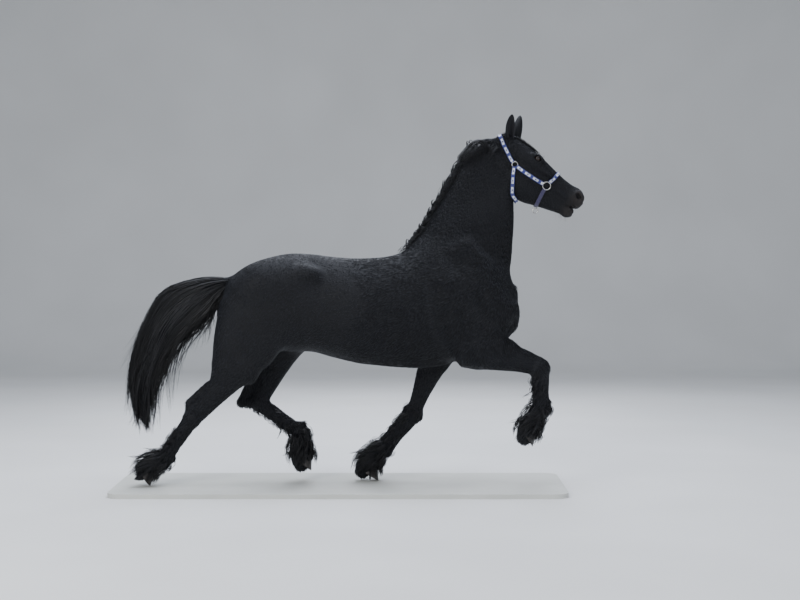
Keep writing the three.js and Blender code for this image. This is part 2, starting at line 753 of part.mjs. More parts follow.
// What is left of a solid once others, and a gap round them, are cut away.
function clearOf(solid, others, gap = 2 * GAP) {
  let rest = solid;
  const shifts = [[gap, 0, 0], [-gap, 0, 0], [0, gap, 0], [0, -gap, 0], [0, 0, gap], [0, 0, -gap]];
  for (const other of others) {
    for (const shift of shifts) rest = rest.subtract(other.translate(shift));
  }
  return largest(rest);
}

// An upright block over an outline in x and z, from y = near to y = far.
function block(outline, near, far) {
  const shape = new THREE.Shape(outline.map(([x, z]) => new THREE.Vector2(x, z)));
  const geometry = new THREE.ExtrudeGeometry(shape, { depth: Math.abs(far - near), bevelEnabled: false });
  geometry.rotateX(Math.PI / 2);
  geometry.translate(0, Math.max(near, far), 0);
  return solidFromGeometry(geometry);
}

// The group, its ground level lifted to the top of the base.
const horse = new THREE.Group();
const animal = new THREE.Group();
animal.position.z = BASE.height;
horse.add(animal);

function addPiece(name, solid, look, parent = animal) {
  const mesh = new THREE.Mesh(geometryFromSolid(solid), new THREE.MeshStandardMaterial(PALETTE[look]));
  mesh.name = name;
  parent.add(mesh);
  return mesh;
}

// Where the pieces of the body part.
const NECK_CUT = { at: [450, 1558], along: [1150, 1378] };
const HEAD_CUT = { at: [1046, 2290], along: [1148, 1878] };
const HIND_BLOCK = [[-200, -120], [-200, 888], [-850, 1008], [-1600, 1150], [-1600, -120]];
const FORE_BLOCK = {
  [RIGHT]: [[790, -120], [790, 800], [1128, 985], [1600, 1000], [1600, -120]],
  [LEFT]: [[760, -120], [760, 862], [395, 742], [-120, 742], [-120, -120]],
};
const HIND_INNER = 14;
const FORE_INNER = 52;
const OUTSIDE = 420;

const across = ({ at, along }) => [-(along[1] - at[1]), along[0] - at[0]];
const against = (direction) => direction.map((value) => -value);
const shifted = (outline, dx, dz) => outline.map(([x, z]) => [x + dx, z + dz]);

function addTorso() {
  const cells = {
    at: [0, 0, 0], along: [1, 0, 0], lo: [-900, -396, 560], hi: [1260, 396, 1720], cell: [108, 62, 76],
  };
  let solid = keep(polygonise(body, cells), NECK_CUT.at, against(across(NECK_CUT)));
  for (const side of [RIGHT, LEFT]) {
    const forward = side === RIGHT ? -GAP : GAP;
    const hind = shifted(HIND_BLOCK, GAP, 1.6 * GAP);
    const fore = shifted(FORE_BLOCK[side], forward, 1.6 * GAP);
    solid = solid.subtract(block(hind, side * (HIND_INNER - GAP), side * OUTSIDE));
    solid = solid.subtract(block(fore, side * (FORE_INNER - GAP), side * OUTSIDE));
  }
  const torso = largest(solid);
  addPiece("torso", torso, "coat");
  return torso;
}

function addNeck() {
  const cells = {
    at: [802, 0, 1470], along: [228, 0, 735],
    lo: [-250, -230, -520], hi: [900, 230, 460], cell: [66, 35, 54],
  };
  const upper = keep(polygonise(body, cells), NECK_CUT.at, across(NECK_CUT));
  const bare = keep(upper, HEAD_CUT.at, against(across(HEAD_CUT)));
  const neckPiece = largest(withLocks(bare, maneLocks()));
  addPiece("neck", neckPiece, "coat");
  return neckPiece;
}

// A leg's piece between cuts, on cells laid along one of its bones.
function legPiece(piece) {
  const { name, side, from, to, before, after, behind, front, spread, cell, cuts } = piece;
  const { trims = [], field = body } = piece;
  const [dx, dz] = unit(from, to);
  const length = Math.hypot(to[0] - from[0], to[1] - from[1]);
  let solid = polygonise(field, {
    at: [from[0], side * from[2], from[1]], along: [dx, 0, dz],
    lo: [-before, -spread, -behind], hi: [length + after, spread, front], cell,
  });
  for (const [at, direction] of cuts) solid = keep(solid, at, direction);
  for (const trim of trims) solid = trim(solid);
  addPiece(`${name}_${side === RIGHT ? "right" : "left"}`, largest(solid), "coat");
}

function hoofSolid(leg, side, grow = 0) {
  const foot = footFrame(leg);
  const around = 14;
  const rings = [
    {
      rise0: -grow, rise1: -grow,
      run0: 4 - grow, run1: HOOF.sole - 4 + grow, half: HOOF.halfWidth - 3 + grow,
    },
    { rise0: 5, rise1: 5, run0: 2 - grow, run1: HOOF.sole - 1 + grow, half: HOOF.halfWidth + grow },
    {
      rise0: HOOF.wallRise + grow, rise1: HOOF.heelRise + grow,
      run0: HOOF.wallRun - grow, run1: HOOF.heelRun + grow, half: HOOF.coronetHalf + grow,
    },
  ];
  const positions = [];
  for (const { rise0, rise1, run0, run1, half } of rings) {
    for (let i = 0; i < around; i += 1) {
      const angle = (2 * Math.PI * i) / around;
      const forward = (1 - Math.cos(angle)) / 2;
      const run = run0 + (run1 - run0) * forward;
      const [x, z] = foot.at(run, rise0 + (rise1 - rise0) * forward);
      positions.push(x, side * (leg.toe[2] + half * Math.sin(angle)), z);
    }
  }
  const cup = foot.at(HOOF.sole * 0.55, grow > 0 ? -grow : 8);
  const top = foot.at((HOOF.wallRun + HOOF.heelRun) / 2, (HOOF.wallRise + HOOF.heelRise) / 2 + grow);
  positions.push(cup[0], side * leg.toe[2], cup[1], top[0], side * leg.toe[2], top[1]);
  const triangles = [];
  const last = rings.length * around;
  for (let i = 0; i < around; i += 1) {
    const next = (i + 1) % around;
    for (let r = 0; r < rings.length - 1; r += 1) {
      const a = r * around + i;
      const b = r * around + next;
      triangles.push(a, b, b + around, a, b + around, a + around);
    }
    const upper = (rings.length - 1) * around;
    triangles.push(last, next, i, last + 1, upper + i, upper + next);
  }
  let solid = solidOf(positions, triangles);
  if (leg.toe[1] === 0) solid = solid.trimByPlane([0, 0, 1], GAP);
  return solid;
}

// Hair. It is made of locks: flat ribbons that taper to a point, bend along their lie and overlap.

// A seeded run of numbers from 0 to 1, so that each lock keeps its own shape.
function seeded(seed) {
  const most = 4294967296;
  let state = seed;
  return () => {
    state = (state * 1664525 + 1013904223) % most;
    return state / most;
  };
}

const within = (random, low, high) => low + (high - low) * random();

const outOf = (field, p) => {
  const step = 1.5;
  return new THREE.Vector3(
    field(p.x + step, p.y, p.z) - field(p.x - step, p.y, p.z),
    field(p.x, p.y + step, p.z) - field(p.x, p.y - step, p.z),
    field(p.x, p.y, p.z + step) - field(p.x, p.y, p.z - step),
  ).normalize();
};

// The line of a lock: it leaves its root along start, bends into its lie and keeps a height off what is under
// it. Cling is how much of the way back to that height it falls at each step, where it has come away.
function drape({ root, start, lie, length, height, under, steps, cling = 0 }) {
  const line = [root.clone().addScaledVector(start, -LOCK.sunk)];
  const p = root.clone();
  const way = start.clone();
  const step = length / (steps * LOCK.substeps);
  for (let i = 1; i <= steps * LOCK.substeps; i += 1) {
    way.lerp(lie, LOCK.bend).normalize();
    p.addScaledVector(way, step);
    const raised = Math.min(1, (5 * i) / (steps * LOCK.substeps));
    const short = height * raised - under(p.x, p.y, p.z);
    if (short > 0 || cling > 0) p.addScaledVector(outOf(under, p), short > 0 ? short : cling * short);
    if (i % LOCK.substeps === 0) line.push(p.clone());
  }
  return line;
}

// A lock's solid round its line. Each ring has two thin edges and a low ridge on both sides.
function lockSolid(line, facing, width, thick, tilt = LOCK.tilt) {
  const last = line.length - 1;
  const positions = [];
  line.forEach((p, i) => {
    if (i === last) return;
    const t = i / last;
    const tangent = line[i + 1].clone().sub(line[Math.max(i - 1, 0)]).normalize();
    const side = new THREE.Vector3().crossVectors(facing(p, t), tangent).normalize();
    side.applyAxisAngle(tangent, tilt);
    const face = new THREE.Vector3().crossVectors(tangent, side);
    const half = (width / 2) * Math.min(1, 0.55 + 1.6 * t) * (1 - t ** 3);
    const deep = (thick / 2) * (1 - 0.6 * t);
    for (const [across, out] of [[-half, 0], [0, -deep], [half, 0], [0, deep]]) {
      const q = p.clone().addScaledVector(side, across).addScaledVector(face, out);
      positions.push(q.x, q.y, q.z);
    }
  });
  positions.push(...line[last].toArray());
  const corners = 4;
  const tip = last * corners;
  const triangles = [0, 1, 2, 0, 2, 3];
  for (let j = 0; j < corners; j += 1) {
    const next = (j + 1) % corners;
    for (let i = 0; i < last - 1; i += 1) {
      const a = i * corners + j;
      const b = i * corners + next;
      triangles.push(b, a, a + corners, b, a + corners, b + corners);
    }
    triangles.push(tip - corners + next, tip - corners + j, tip);
  }
  return solidOf(positions, triangles);
}

// The crest of the neck: from a place on the neck's line, straight out through the skin.
const neckLine = new THREE.CatmullRomCurve3(NECK.map(([x, z]) => new THREE.Vector3(x, 0, z)));

function crestPoint(t, y) {
  const tangent = neckLine.getTangentAt(t);
  const out = new THREE.Vector3(tangent.z, 0, -tangent.x);
  const p = neckLine.getPointAt(t).setY(y);
  while (body(p.x, p.y, p.z) < 0) p.addScaledVector(out, Math.max(-body(p.x, p.y, p.z), 0.5));
  return p;
}

// The mane falls to the left in two layers, and short tufts stand on the right of the crest.
function maneLocks() {
  const random = seeded(7);
  const onSkin = (p) => outOf(body, p);
  const locks = [];
  for (const layer of [0, 1]) {
    for (let i = 0; i < MANE.roots; i += 1) {
      const t = THREE.MathUtils.lerp(MANE.from, MANE.to, (i + layer / 2) / MANE.roots);
      const root = crestPoint(t, layer ? 3 : 16);
      const lie = new THREE.Vector3(0.1 + within(random, -0.03, 0.03), 0.02, -1).normalize();
      const start = onSkin(root).multiplyScalar(0.35).add(new THREE.Vector3(0.1, LEFT, 0)).normalize();
      const line = drape({
        root, start, lie, under: body, steps: MANE.steps, cling: 0.35,
        length: MANE.length * within(random, 0.84, 1.08) * (layer ? 1 : 0.86),
        height: 12 + MANE.layerStep * layer,
      });
      locks.push(lockSolid(line, onSkin, MANE.width * within(random, 0.94, 1.06), MANE.thick));
    }
  }
  for (let i = 0; i < TUFTS.count; i += 1) {
    const place = (i + within(random, 0, 0.5)) / TUFTS.count;
    const root = crestPoint(THREE.MathUtils.lerp(MANE.from, MANE.to, place), -8);
    const lie = new THREE.Vector3(-0.3, RIGHT * 0.25, -0.9).normalize();
    const start = onSkin(root).add(new THREE.Vector3(0, RIGHT * 0.3, 0)).normalize();
    const length = TUFTS.length * within(random, 0.8, 1.25);
    const line = drape({
      root, start, lie, under: body, steps: TUFTS.steps, length, height: 5, cling: 0.1,
    });
    locks.push(lockSolid(line, onSkin, TUFTS.width, TUFTS.thick));
  }
  return locks;
}

// The forelock comes from between the ears and lies down the forehead, most of it on the left.
function forelockLocks() {
  const random = seeded(19);
  const down = new THREE.Vector3(HEAD_AXIS[0], 0, HEAD_AXIS[1]);
  const onSkin = (p) => outOf(body, p);
  const locks = [];
  for (let i = 0; i < FORELOCK.count; i += 1) {
    const place = (i + 0.5) / FORELOCK.count;
    const y = THREE.MathUtils.lerp(-17, 27, place);
    const root = ontoHead(fromHead(58 + 12 * (i % 2), 60, y), 0);
    const start = onSkin(root).multiplyScalar(0.7).add(down).normalize();
    const aside = new THREE.Vector3(0, within(random, -0.1, 0.12) + y / 150, -0.1);
    const lie = down.clone().add(aside).normalize();
    const line = drape({
      root, start, lie, under: body, steps: FORELOCK.steps, cling: 0.5,
      length: FORELOCK.length * within(random, 0.75, 1.1), height: 8,
    });
    locks.push(lockSolid(line, onSkin, FORELOCK.width * within(random, 0.85, 1.1), FORELOCK.thick));
  }
  return locks;
}

// A place in the tail's hair: t along it, depth from its inner edge (-1) to its outer one (1), and y as a
// part of its half width.
const tailRun = smoothRun(TAIL.map((row, i) => [i / (TAIL.length - 1), ...row]));

function inTail(t, depth, y) {
  const end = Math.min(t, 1);
  const [, x, z, outer, inner, half] = tailRun(end);
  const [, nextX, nextZ] = tailRun(Math.min(end + 0.01, 1));
  const [, lastX, lastZ] = tailRun(end - 0.01);
  const along = new THREE.Vector3(nextX - lastX, 0, nextZ - lastZ).normalize();
  const outwards = new THREE.Vector3(along.z, 0, -along.x);
  return new THREE.Vector3(x, y * half, z).addScaledVector(outwards, depth * (depth > 0 ? outer : inner));
}

// The tail's hair hangs in three sheets, one on each side and one in the middle. The outermost locks of each
// sheet turn to face outwards, and the middle sheet starts lower, from the core.
function tailLocks() {
  const random = seeded(31);
  const locks = [];
  for (const sheet of [RIGHT, 0, LEFT]) {
    const count = TAIL_HAIR.across - (sheet === 0 ? 1 : 0);
    for (let i = 0; i < count; i += 1) {
      const depth = (2 * i) / (count - 1) - 1;
      const edge = Math.abs(depth) ** 2;
      const start = (sheet === 0 ? 0.3 : 0.12) + within(random, 0, 0.07) + 0.08 * (1 - edge);
      const end = Math.min(within(random, 0.86, 1.04), 1) - 0.12 * Math.max(depth, 0) * random();
      const y = sheet * (0.8 - 0.3 * edge);
      const line = [];
      for (let k = 0; k <= TAIL_HAIR.steps; k += 1) {
        const part = k / TAIL_HAIR.steps;
        const rise = THREE.MathUtils.lerp(0.35, 1, Math.sin((Math.PI / 2) * Math.min(part * 2.4, 1)));
        line.push(inTail(start + (end - start) * part, depth * 0.86 * rise, y * rise));
      }
      const facing = (p, t) => {
        const away = inTail(start + (end - start) * t, depth * 2, y).sub(p).normalize();
        const level = new THREE.Vector3(0, sheet === RIGHT ? -1 : 1, 0);
        level.multiplyScalar(1 - edge * (sheet === 0 ? 1 : 0.5));
        return level.addScaledVector(away, 0.6 * edge).normalize();
      };
      const width = TAIL_HAIR.width * within(random, 0.9, 1.1);
      locks.push(lockSolid(line, facing, width, TAIL_HAIR.thick, TAIL_HAIR.tilt));
    }
  }
  for (let i = 0; i < TAIL_HAIR.loose; i += 1) {
    const root = inTail(0.17 + 0.05 * i, -0.7, 0).setY(22 * (i - 1));
    const start = new THREE.Vector3(-0.5, 0, -1).normalize();
    const lie = new THREE.Vector3(-0.2 - 0.1 * i, 0, -1).normalize();
    const length = within(random, 270, 400);
    const line = drape({ root, start, lie, under: () => Infinity, steps: 5, length, height: 0 });
    locks.push(lockSolid(line, () => new THREE.Vector3(0.4, 1, 0).normalize(), 46, 12));
  }
  return locks;
}

// The feather stands round the fetlock, pastern and hoof as a full bell, longest behind. Under it is a core,
// and its locks lie over the core in tiers like tiles. A tier is its place from the fetlock to the coronet,
// its height off the core, and the angles round the leg at which its locks stand: 0 behind, half a turn in
// front.
const FEATHER_TIERS = [
  { place: 0.6, height: 4, angles: [0, 1.3, 3.1, -1.3], steps: 3 },
  { place: 0.14, height: 13, angles: [-0.62, 0.62, 1.75, -1.75], steps: 3 },
];

// The core: from above the fetlock to beside the hoof, and out to half the hair's depth at most.
function featherCore(leg, side) {
  const foot = footFrame(leg);
  const [dx, dz] = unit(leg.fetlock, foot.coronet);
  const at = (run, stream, behind, front, half) => [
    leg.fetlock[0] + dx * run + leg.flow[0] * stream,
    leg.fetlock[1] + dz * run + leg.flow[1] * stream,
    side * leg.fetlock[2], behind, front, half,
  ];
  const reach = Math.hypot(foot.coronet[0] - leg.fetlock[0], foot.coronet[1] - leg.fetlock[1]);
  return sweep([
    at(-70, 0, 46, 36, 34),
    at(0, 8, 74, 46, 48),
    at(reach * 0.6, 22, 92, 52, 62),
    at(reach + 26, 38, 80, 58, 72),
    at(reach + 52, 46, 58, 44, 62),
  ], { cap: 0.5 });
}

function featherLocks(leg, side, seed, core) {
  const random = seeded(seed);
  const foot = footFrame(leg);
  const fetlock = new THREE.Vector3(leg.fetlock[0], side * leg.fetlock[2], leg.fetlock[1]);
  const coronet = new THREE.Vector3(foot.coronet[0], side * leg.toe[2], foot.coronet[1]);
  const down = coronet.clone().sub(fetlock).normalize();
  const back = new THREE.Vector3(down.z, 0, -down.x);
  const out = new THREE.Vector3(0, side, 0);
  const flow = new THREE.Vector3(leg.flow[0], 0, leg.flow[1]).normalize();
  const under = (x, y, z) => Math.min(core(x, y, z), z - 2);
  const facing = (p) => outOf(under, p);
  const locks = [];
  for (const { place, height, angles, steps } of FEATHER_TIERS) {
    for (const angle of angles) {
      const away = back.clone().multiplyScalar(Math.cos(angle)).addScaledVector(out, Math.sin(angle));
      const root = fetlock.clone().lerp(coronet, place + within(random, -0.08, 0.08));
      while (under(root.x, root.y, root.z) < 0) {
        root.addScaledVector(away, Math.max(-under(root.x, root.y, root.z), 0.5));
      }
      const behind = (1 + Math.cos(angle)) / 2;
      const lie = down.clone().lerp(flow, 0.8 * behind);
      lie.addScaledVector(away, 0.08 + 0.1 * behind).normalize();
      const start = away.clone().multiplyScalar(0.6).add(lie).normalize();
      const longest = THREE.MathUtils.lerp(FEATHER.shortest, FEATHER.longest, behind ** 1.5);
      const length = longest * within(random, 0.85, 1.12);
      const line = drape({ root, start, lie, under, steps, length, height, cling: 0.14 });
      locks.push(lockSolid(line, facing, FEATHER.width * within(random, 0.9, 1.1), FEATHER.thick));
    }
  }
  return locks;
}

function withLocks(solid, locks) {
  const fused = locks.reduce((sum, lock) => sum.add(lock), solid);
  return closeShortEdges(largest(fused), SHORTEST_EDGE.fused);
}

function addFoot(leg, joint, name, side) {
  const foot = footFrame(leg);
  const fetlockCut = [offBone(joint, leg.fetlock, 0.84, 0), unit(joint, leg.fetlock)];
  const core = featherCore(leg, side);
  const coat = (x, y, z) => blendMin(body(x, y, z), core(x, y, z), 16);
  legPiece({
    name: `${name}_pastern`, side, from: leg.fetlock, to: foot.coronet, field: coat,
    before: 110, after: 130, behind: 170, front: 110, spread: 100, cell: [50, 40, 44],
    cuts: [fetlockCut],
    trims: [
      (solid) => withLocks(solid, featherLocks(leg, side, leg.roll + side, coat)),
      (solid) => solid.subtract(hoofSolid(leg, side, GAP)),
      (solid) => solid.subtract(underCoronet(leg, side)),
      (solid) => solid.trimByPlane([0, 0, 1], GAP),
    ],
  });
  addPiece(`${name}_hoof_${side === RIGHT ? "right" : "left"}`, hoofSolid(leg, side), "horn");
}

// The space inside the hoof, so that nothing of the pastern is left under it.
function underCoronet(leg, side) {
  const foot = footFrame(leg);
  const under = [[-60, -90], [190, -90], [190, -2], [-60, -2]];
  const corners = under.map(([run, rise]) => foot.at(run, rise).slice(0, 2));
  return block(corners, side * 0.5, side * 300);
}

function addHindLeg(side) {
  const leg = HIND[side];
  const { hip, knee, hock } = leg;
  const kneeCut = offBone(knee, hock, 0.14, 0);
  const hockCut = offBone(knee, hock, 0.7, 0);
  const shank = unit(knee, hock);
  legPiece({
    name: "hind_thigh", side, from: [hip[0], hip[1], 170], to: [knee[0], knee[1], 170],
    before: 120, after: 170, behind: 420, front: 330, spread: 176, cell: [66, 50, 58],
    cuts: [[kneeCut, against(shank)]],
    trims: [(solid) => solid.intersect(block(HIND_BLOCK, side * HIND_INNER, side * OUTSIDE))],
  });
  legPiece({
    name: "hind_gaskin", side, from: knee, to: hock,
    before: 60, after: 40, behind: 210, front: 160, spread: 130, cell: [64, 34, 38],
    cuts: [[kneeCut, shank], [hockCut, against(shank)]],
    trims: [(solid) => solid.intersect(block(HIND_BLOCK, side * HIND_INNER, side * OUTSIDE))],
  });
  legPiece({
    name: "hind_cannon", side, from: hock, to: leg.fetlock,
    before: 190, after: 40, behind: 170, front: 130, spread: 84, cell: [42, 23, 26],
    cuts: [[hockCut, shank], [offBone(hock, leg.fetlock, 0.84, 0), against(unit(hock, leg.fetlock))]],
  });
  addFoot(leg, hock, "hind", side);
}

function addForeLeg(side) {
  const leg = FORE[side];
  const { elbow, knee } = leg;
  const arm = unit(elbow, knee);
  const kneeCut = offBone(elbow, knee, 0.84, 0);
  legPiece({
    name: "forearm", side, from: [elbow[0], elbow[1], 150], to: [knee[0], knee[1], 150],
    before: 160, after: 20, behind: 190, front: 200, spread: 120, cell: [62, 36, 42],
    cuts: [[kneeCut, against(arm)]],
    trims: [(solid) => solid.intersect(block(FORE_BLOCK[side], side * FORE_INNER, side * OUTSIDE))],
  });
  legPiece({
    name: "fore_cannon", side, from: knee, to: leg.fetlock,
    before: 130, after: 40, behind: 140, front: 120, spread: 80, cell: [40, 22, 25],
    cuts: [[kneeCut, arm], [offBone(knee, leg.fetlock, 0.84, 0), against(unit(knee, leg.fetlock))]],
  });
  addFoot(leg, knee, "fore", side);
}

// The head, with sockets for the eyes.
function addHead() {
  const cells = {
    at: [POLL.x, 0, POLL.z], along: [HEAD_AXIS[0], 0, HEAD_AXIS[1]],
    lo: [-150, -133, -300], hi: [700, 133, 130], cell: [28.5, 21, 24.5],
  };
  let solid = withLocks(keep(polygonise(body, cells), HEAD_CUT.at, across(HEAD_CUT)), forelockLocks());
  for (const side of [RIGHT, LEFT]) {
    solid = solid.add(eyeBall(side, EYE.radius + EYE.lid));
    solid = solid.subtract(lidOpening(side));
    solid = solid.subtract(nostril(side));
  }
  solid = closeShortEdges(largest(solid.subtract(mouthLine())), SHORTEST_EDGE.face);
  for (const side of [RIGHT, LEFT]) solid = solid.subtract(eyeBall(side, EYE.radius + 2 * GAP));
  const headPiece = largest(solid);
  addPiece("head", headPiece, "coat");
  for (const side of [RIGHT, LEFT]) {
    addPiece(`eye_${side === RIGHT ? "right" : "left"}`, eyeBall(side, EYE.radius), "eye");
  }
  return headPiece;
}

function headBlock(outline, near, far) {
  return block(outline.map(([s, n]) => {
    const [x, , z] = fromHead(s, n, 0);
    return [x, z];
  }), near, far);
}

function eyeBall(side, radius) {
  const ball = new THREE.SphereGeometry(radius, 10, 7);
  const [x, y, z] = fromHead(EYE.s, EYE.n, side * EYE.y);
  ball.translate(x, y, z);
  return solidFromGeometry(ball);
}

// The almond between the lids.
function lidOpening(side) {
  const almond = [];
  for (let i = 0; i < 12; i += 1) {
    const angle = (2 * Math.PI * i) / 12;
    const along = EYE.openLong * Math.cos(angle);
    const high = EYE.openHigh * Math.sin(angle) * Math.abs(Math.sin(angle)) ** 0.3;
    almond.push([EYE.s + along, EYE.n + 1 + high - 0.12 * along]);
  }
  return headBlock(almond, side * (EYE.y + 6), side * (EYE.y + 70));
}

function nostril(side) {
  const pit = new THREE.SphereGeometry(1, 10, 8);
  pit.scale(23, 15, 10);
  pit.rotateY(HEAD_PITCH - 0.55);
  const [x, y, z] = fromHead(610, 12, side * 58);
  pit.translate(x, y, z);
  return solidFromGeometry(pit);
}

// A thin slot round the front of the lips.
function mouthLine() {
  const depth = 15;
  const slot = headBlock([[570, -86], [710, -57], [710, -54], [570, -82]], -120, 120);
  const core = headBlock([[550, -160], [644 - depth, -160], [644 - depth, 0], [550, 0]], -22, 22);
  return slot.subtract(core);
}

// An ear is a cupped leaf, rolled at its root and opening forward and out.
const EAR = { width: 34, thick: 4.2, root: 27 };

function earSolid(side) {
  const base = side === RIGHT ? fromHead(14, 22, -48) : fromHead(62, 40, 50);
  const tip = side === RIGHT ? [1127, -78, 2431] : [1192, 74, 2436];
  const spine = new THREE.Vector3(...tip).sub(new THREE.Vector3(...base));
  const length = spine.length();
  spine.normalize();
  const open = new THREE.Vector3(0.5, side * 0.87, 0);
  open.addScaledVector(spine, -open.dot(spine)).normalize();
  const acrossEar = new THREE.Vector3().crossVectors(spine, open);
  const rows = 7;
  const columns = 6;
  const positions = [];
  const place = (row, column, skin) => {
    const t = row / rows;
    const swell = Math.sin((Math.PI / 2) * Math.min(t * 1.35, 1));
    const taper = Math.sqrt(Math.max(1 - Math.pow(t, 2.6), 0.004));
    const half = (EAR.root + (EAR.width - EAR.root) * swell) * taper;
    const wrap = THREE.MathUtils.lerp(2.5, 1.5, t);
    const angle = ((column / columns) * 2 - 1) * wrap;
    const radius = half - skin * THREE.MathUtils.lerp(EAR.thick, 1.6, t) * Math.min(half / 12, 1);
    const bend = -16 * Math.sin(Math.PI * t);
    const p = new THREE.Vector3(...base)
      .addScaledVector(spine, t * length)
      .addScaledVector(open, -Math.cos(angle) * radius + half * 0.25 + bend * 0.6)
      .addScaledVector(acrossEar, Math.sin(angle) * radius);
    positions.push(p.x, p.y, p.z);
  };
  for (const skin of [0, 1]) {
    for (let row = 0; row <= rows; row += 1) {
      for (let column = 0; column <= columns; column += 1) place(row, column, skin);
    }
  }
  const stride = columns + 1;
  const layer = (rows + 1) * stride;
  const triangles = [];
  const quad = (a, b, c, d) => triangles.push(a, b, c, a, c, d);
  for (let row = 0; row < rows; row += 1) {
    for (let column = 0; column < columns; column += 1) {
      const a = row * stride + column;
      quad(a, a + 1, a + 1 + stride, a + stride);
      quad(layer + a, layer + a + stride, layer + a + 1 + stride, layer + a + 1);
    }
    const left = row * stride;
    const right = left + columns;
    quad(left, left + stride, layer + left + stride, layer + left);
    quad(right, layer + right, layer + right + stride, right + stride);
  }
  for (let column = 0; column < columns; column += 1) {
    const top = rows * stride + column;
    quad(column, layer + column, layer + column + 1, column + 1);
    quad(top, top + 1, layer + top + 1, layer + top);
  }
  return solidOf(positions, triangles);
}

function addEars(headPiece) {
  for (const side of [RIGHT, LEFT]) {
    addPiece(`ear_${side === RIGHT ? "right" : "left"}`, clearOf(earSolid(side), [headPiece]), "coat");
  }
}

function addTail(torso) {
  const dock = sweep([
    [-680, 1345, 0, 30, 42, 40],
    [-800, 1326, 0, 46, 62, 42],
    [-930, 1262, 0, 62, 84, 42],
    [-1050, 1160, 0, 66, 86, 38],
    [-1140, 1050, 0, 44, 58, 28],
  ]);
  const solid = polygonise(dock, {
    at: [-900, 0, 1250], along: [-0.75, 0, -0.6],
    lo: [-330, -70, -190], hi: [420, 70, 190], cell: [60, 27, 42],
  });
  addPiece("tail", clearOf(withLocks(solid, tailLocks()), [torso]), "hair");
}

// The headcollar. A strap's path is a list of places on the head (s, n, y), which are moved onto its skin.
const headDistance = (p) => body(p.x, p.y, p.z);

function ontoHead(place, height) {
  const p = new THREE.Vector3(...place);
  for (let turn = 0; turn < 6; turn += 1) {
    const normal = skinNormal(p);
    p.addScaledVector(normal, (height - headDistance(p)) * 0.9);
  }
  return p;
}

const skinNormal = (p) => outOf(body, p);

function strapSolid(path, clear, steps, clearance = STRAP.clearance) {
  const onHead = path.map(([s, n, y]) => new THREE.Vector3(...fromHead(s, n, y)));
  const curve = new THREE.CatmullRomCurve3(onHead);
  const fine = curve.getSpacedPoints(steps * 8).map((p) => ontoHead([p.x, p.y, p.z], clearance));
  const open = fine.filter((p) => clear.every(({ centre, away }) => p.distanceTo(centre) > away));
  const run = new THREE.CatmullRomCurve3(open);
  const centres = run.getSpacedPoints(steps);
  const positions = [];
  centres.forEach((centre, i) => {
    const tangent = run.getTangentAt(i / steps);
    const normal = skinNormal(centre);
    const wide = new THREE.Vector3().crossVectors(normal, tangent).normalize();
    const low = [-1, 0, 1].map((place) => {
      const p = centre.clone().addScaledVector(wide, (place * STRAP.width) / 2);
      return ontoHead([p.x, p.y, p.z], clearance);
    });
    const high = low.map((p) => {
      const away = skinNormal(p).lerp(normal, 0.6).normalize();
      return p.clone().addScaledVector(away, STRAP.thick);
    });
    for (const p of [...low, ...high.reverse()]) positions.push(p.x, p.y, p.z);
  });
  const triangles = [];
  const ring = 6;
  for (let i = 0; i < steps; i += 1) {
    for (let j = 0; j < ring; j += 1) {
      const a = i * ring + j;
      const b = i * ring + ((j + 1) % ring);
      triangles.push(a, b, b + ring, a, b + ring, a + ring);
    }
  }
  const cap = (start, flip) => {
    const fan = [[0, 4, 1], [0, 5, 4], [1, 4, 3], [1, 3, 2]];
    for (const [a, b, c] of fan) triangles.push(start + a, start + (flip ? c : b), start + (flip ? b : c));
  };
  cap(0, false);
  cap(steps * ring, true);
  return solidOf(positions, triangles);
}

function ringPlace(place, radius, tube) {
  const seat = ontoHead(fromHead(...place), 0);
  const normal = skinNormal(seat);
  const turn = new THREE.Quaternion().setFromUnitVectors(new THREE.Vector3(0, 0, 1), normal);
  const onRing = (angle) =>
    new THREE.Vector3(Math.cos(angle) * radius, Math.sin(angle) * radius, 0).applyQuaternion(turn);
  let lift = tube + 1;
  const lowest = () => Math.min(...Array.from({ length: 16 }, (_, i) => {
    const p = seat.clone().addScaledVector(normal, lift).add(onRing((i * Math.PI) / 8));
    return headDistance(p);
  }));
  while (lowest() < tube + 1.2 && lift < 40) lift += 0.5;
  return { centre: seat.clone().addScaledVector(normal, lift), turn, radius, tube };
}

function ringSolid({ centre, turn, radius, tube }) {
  const torus = new THREE.TorusGeometry(radius, tube, 4, 12);
  torus.applyQuaternion(turn);
  torus.translate(centre.x, centre.y, centre.z);
  return solidFromGeometry(torus);
}

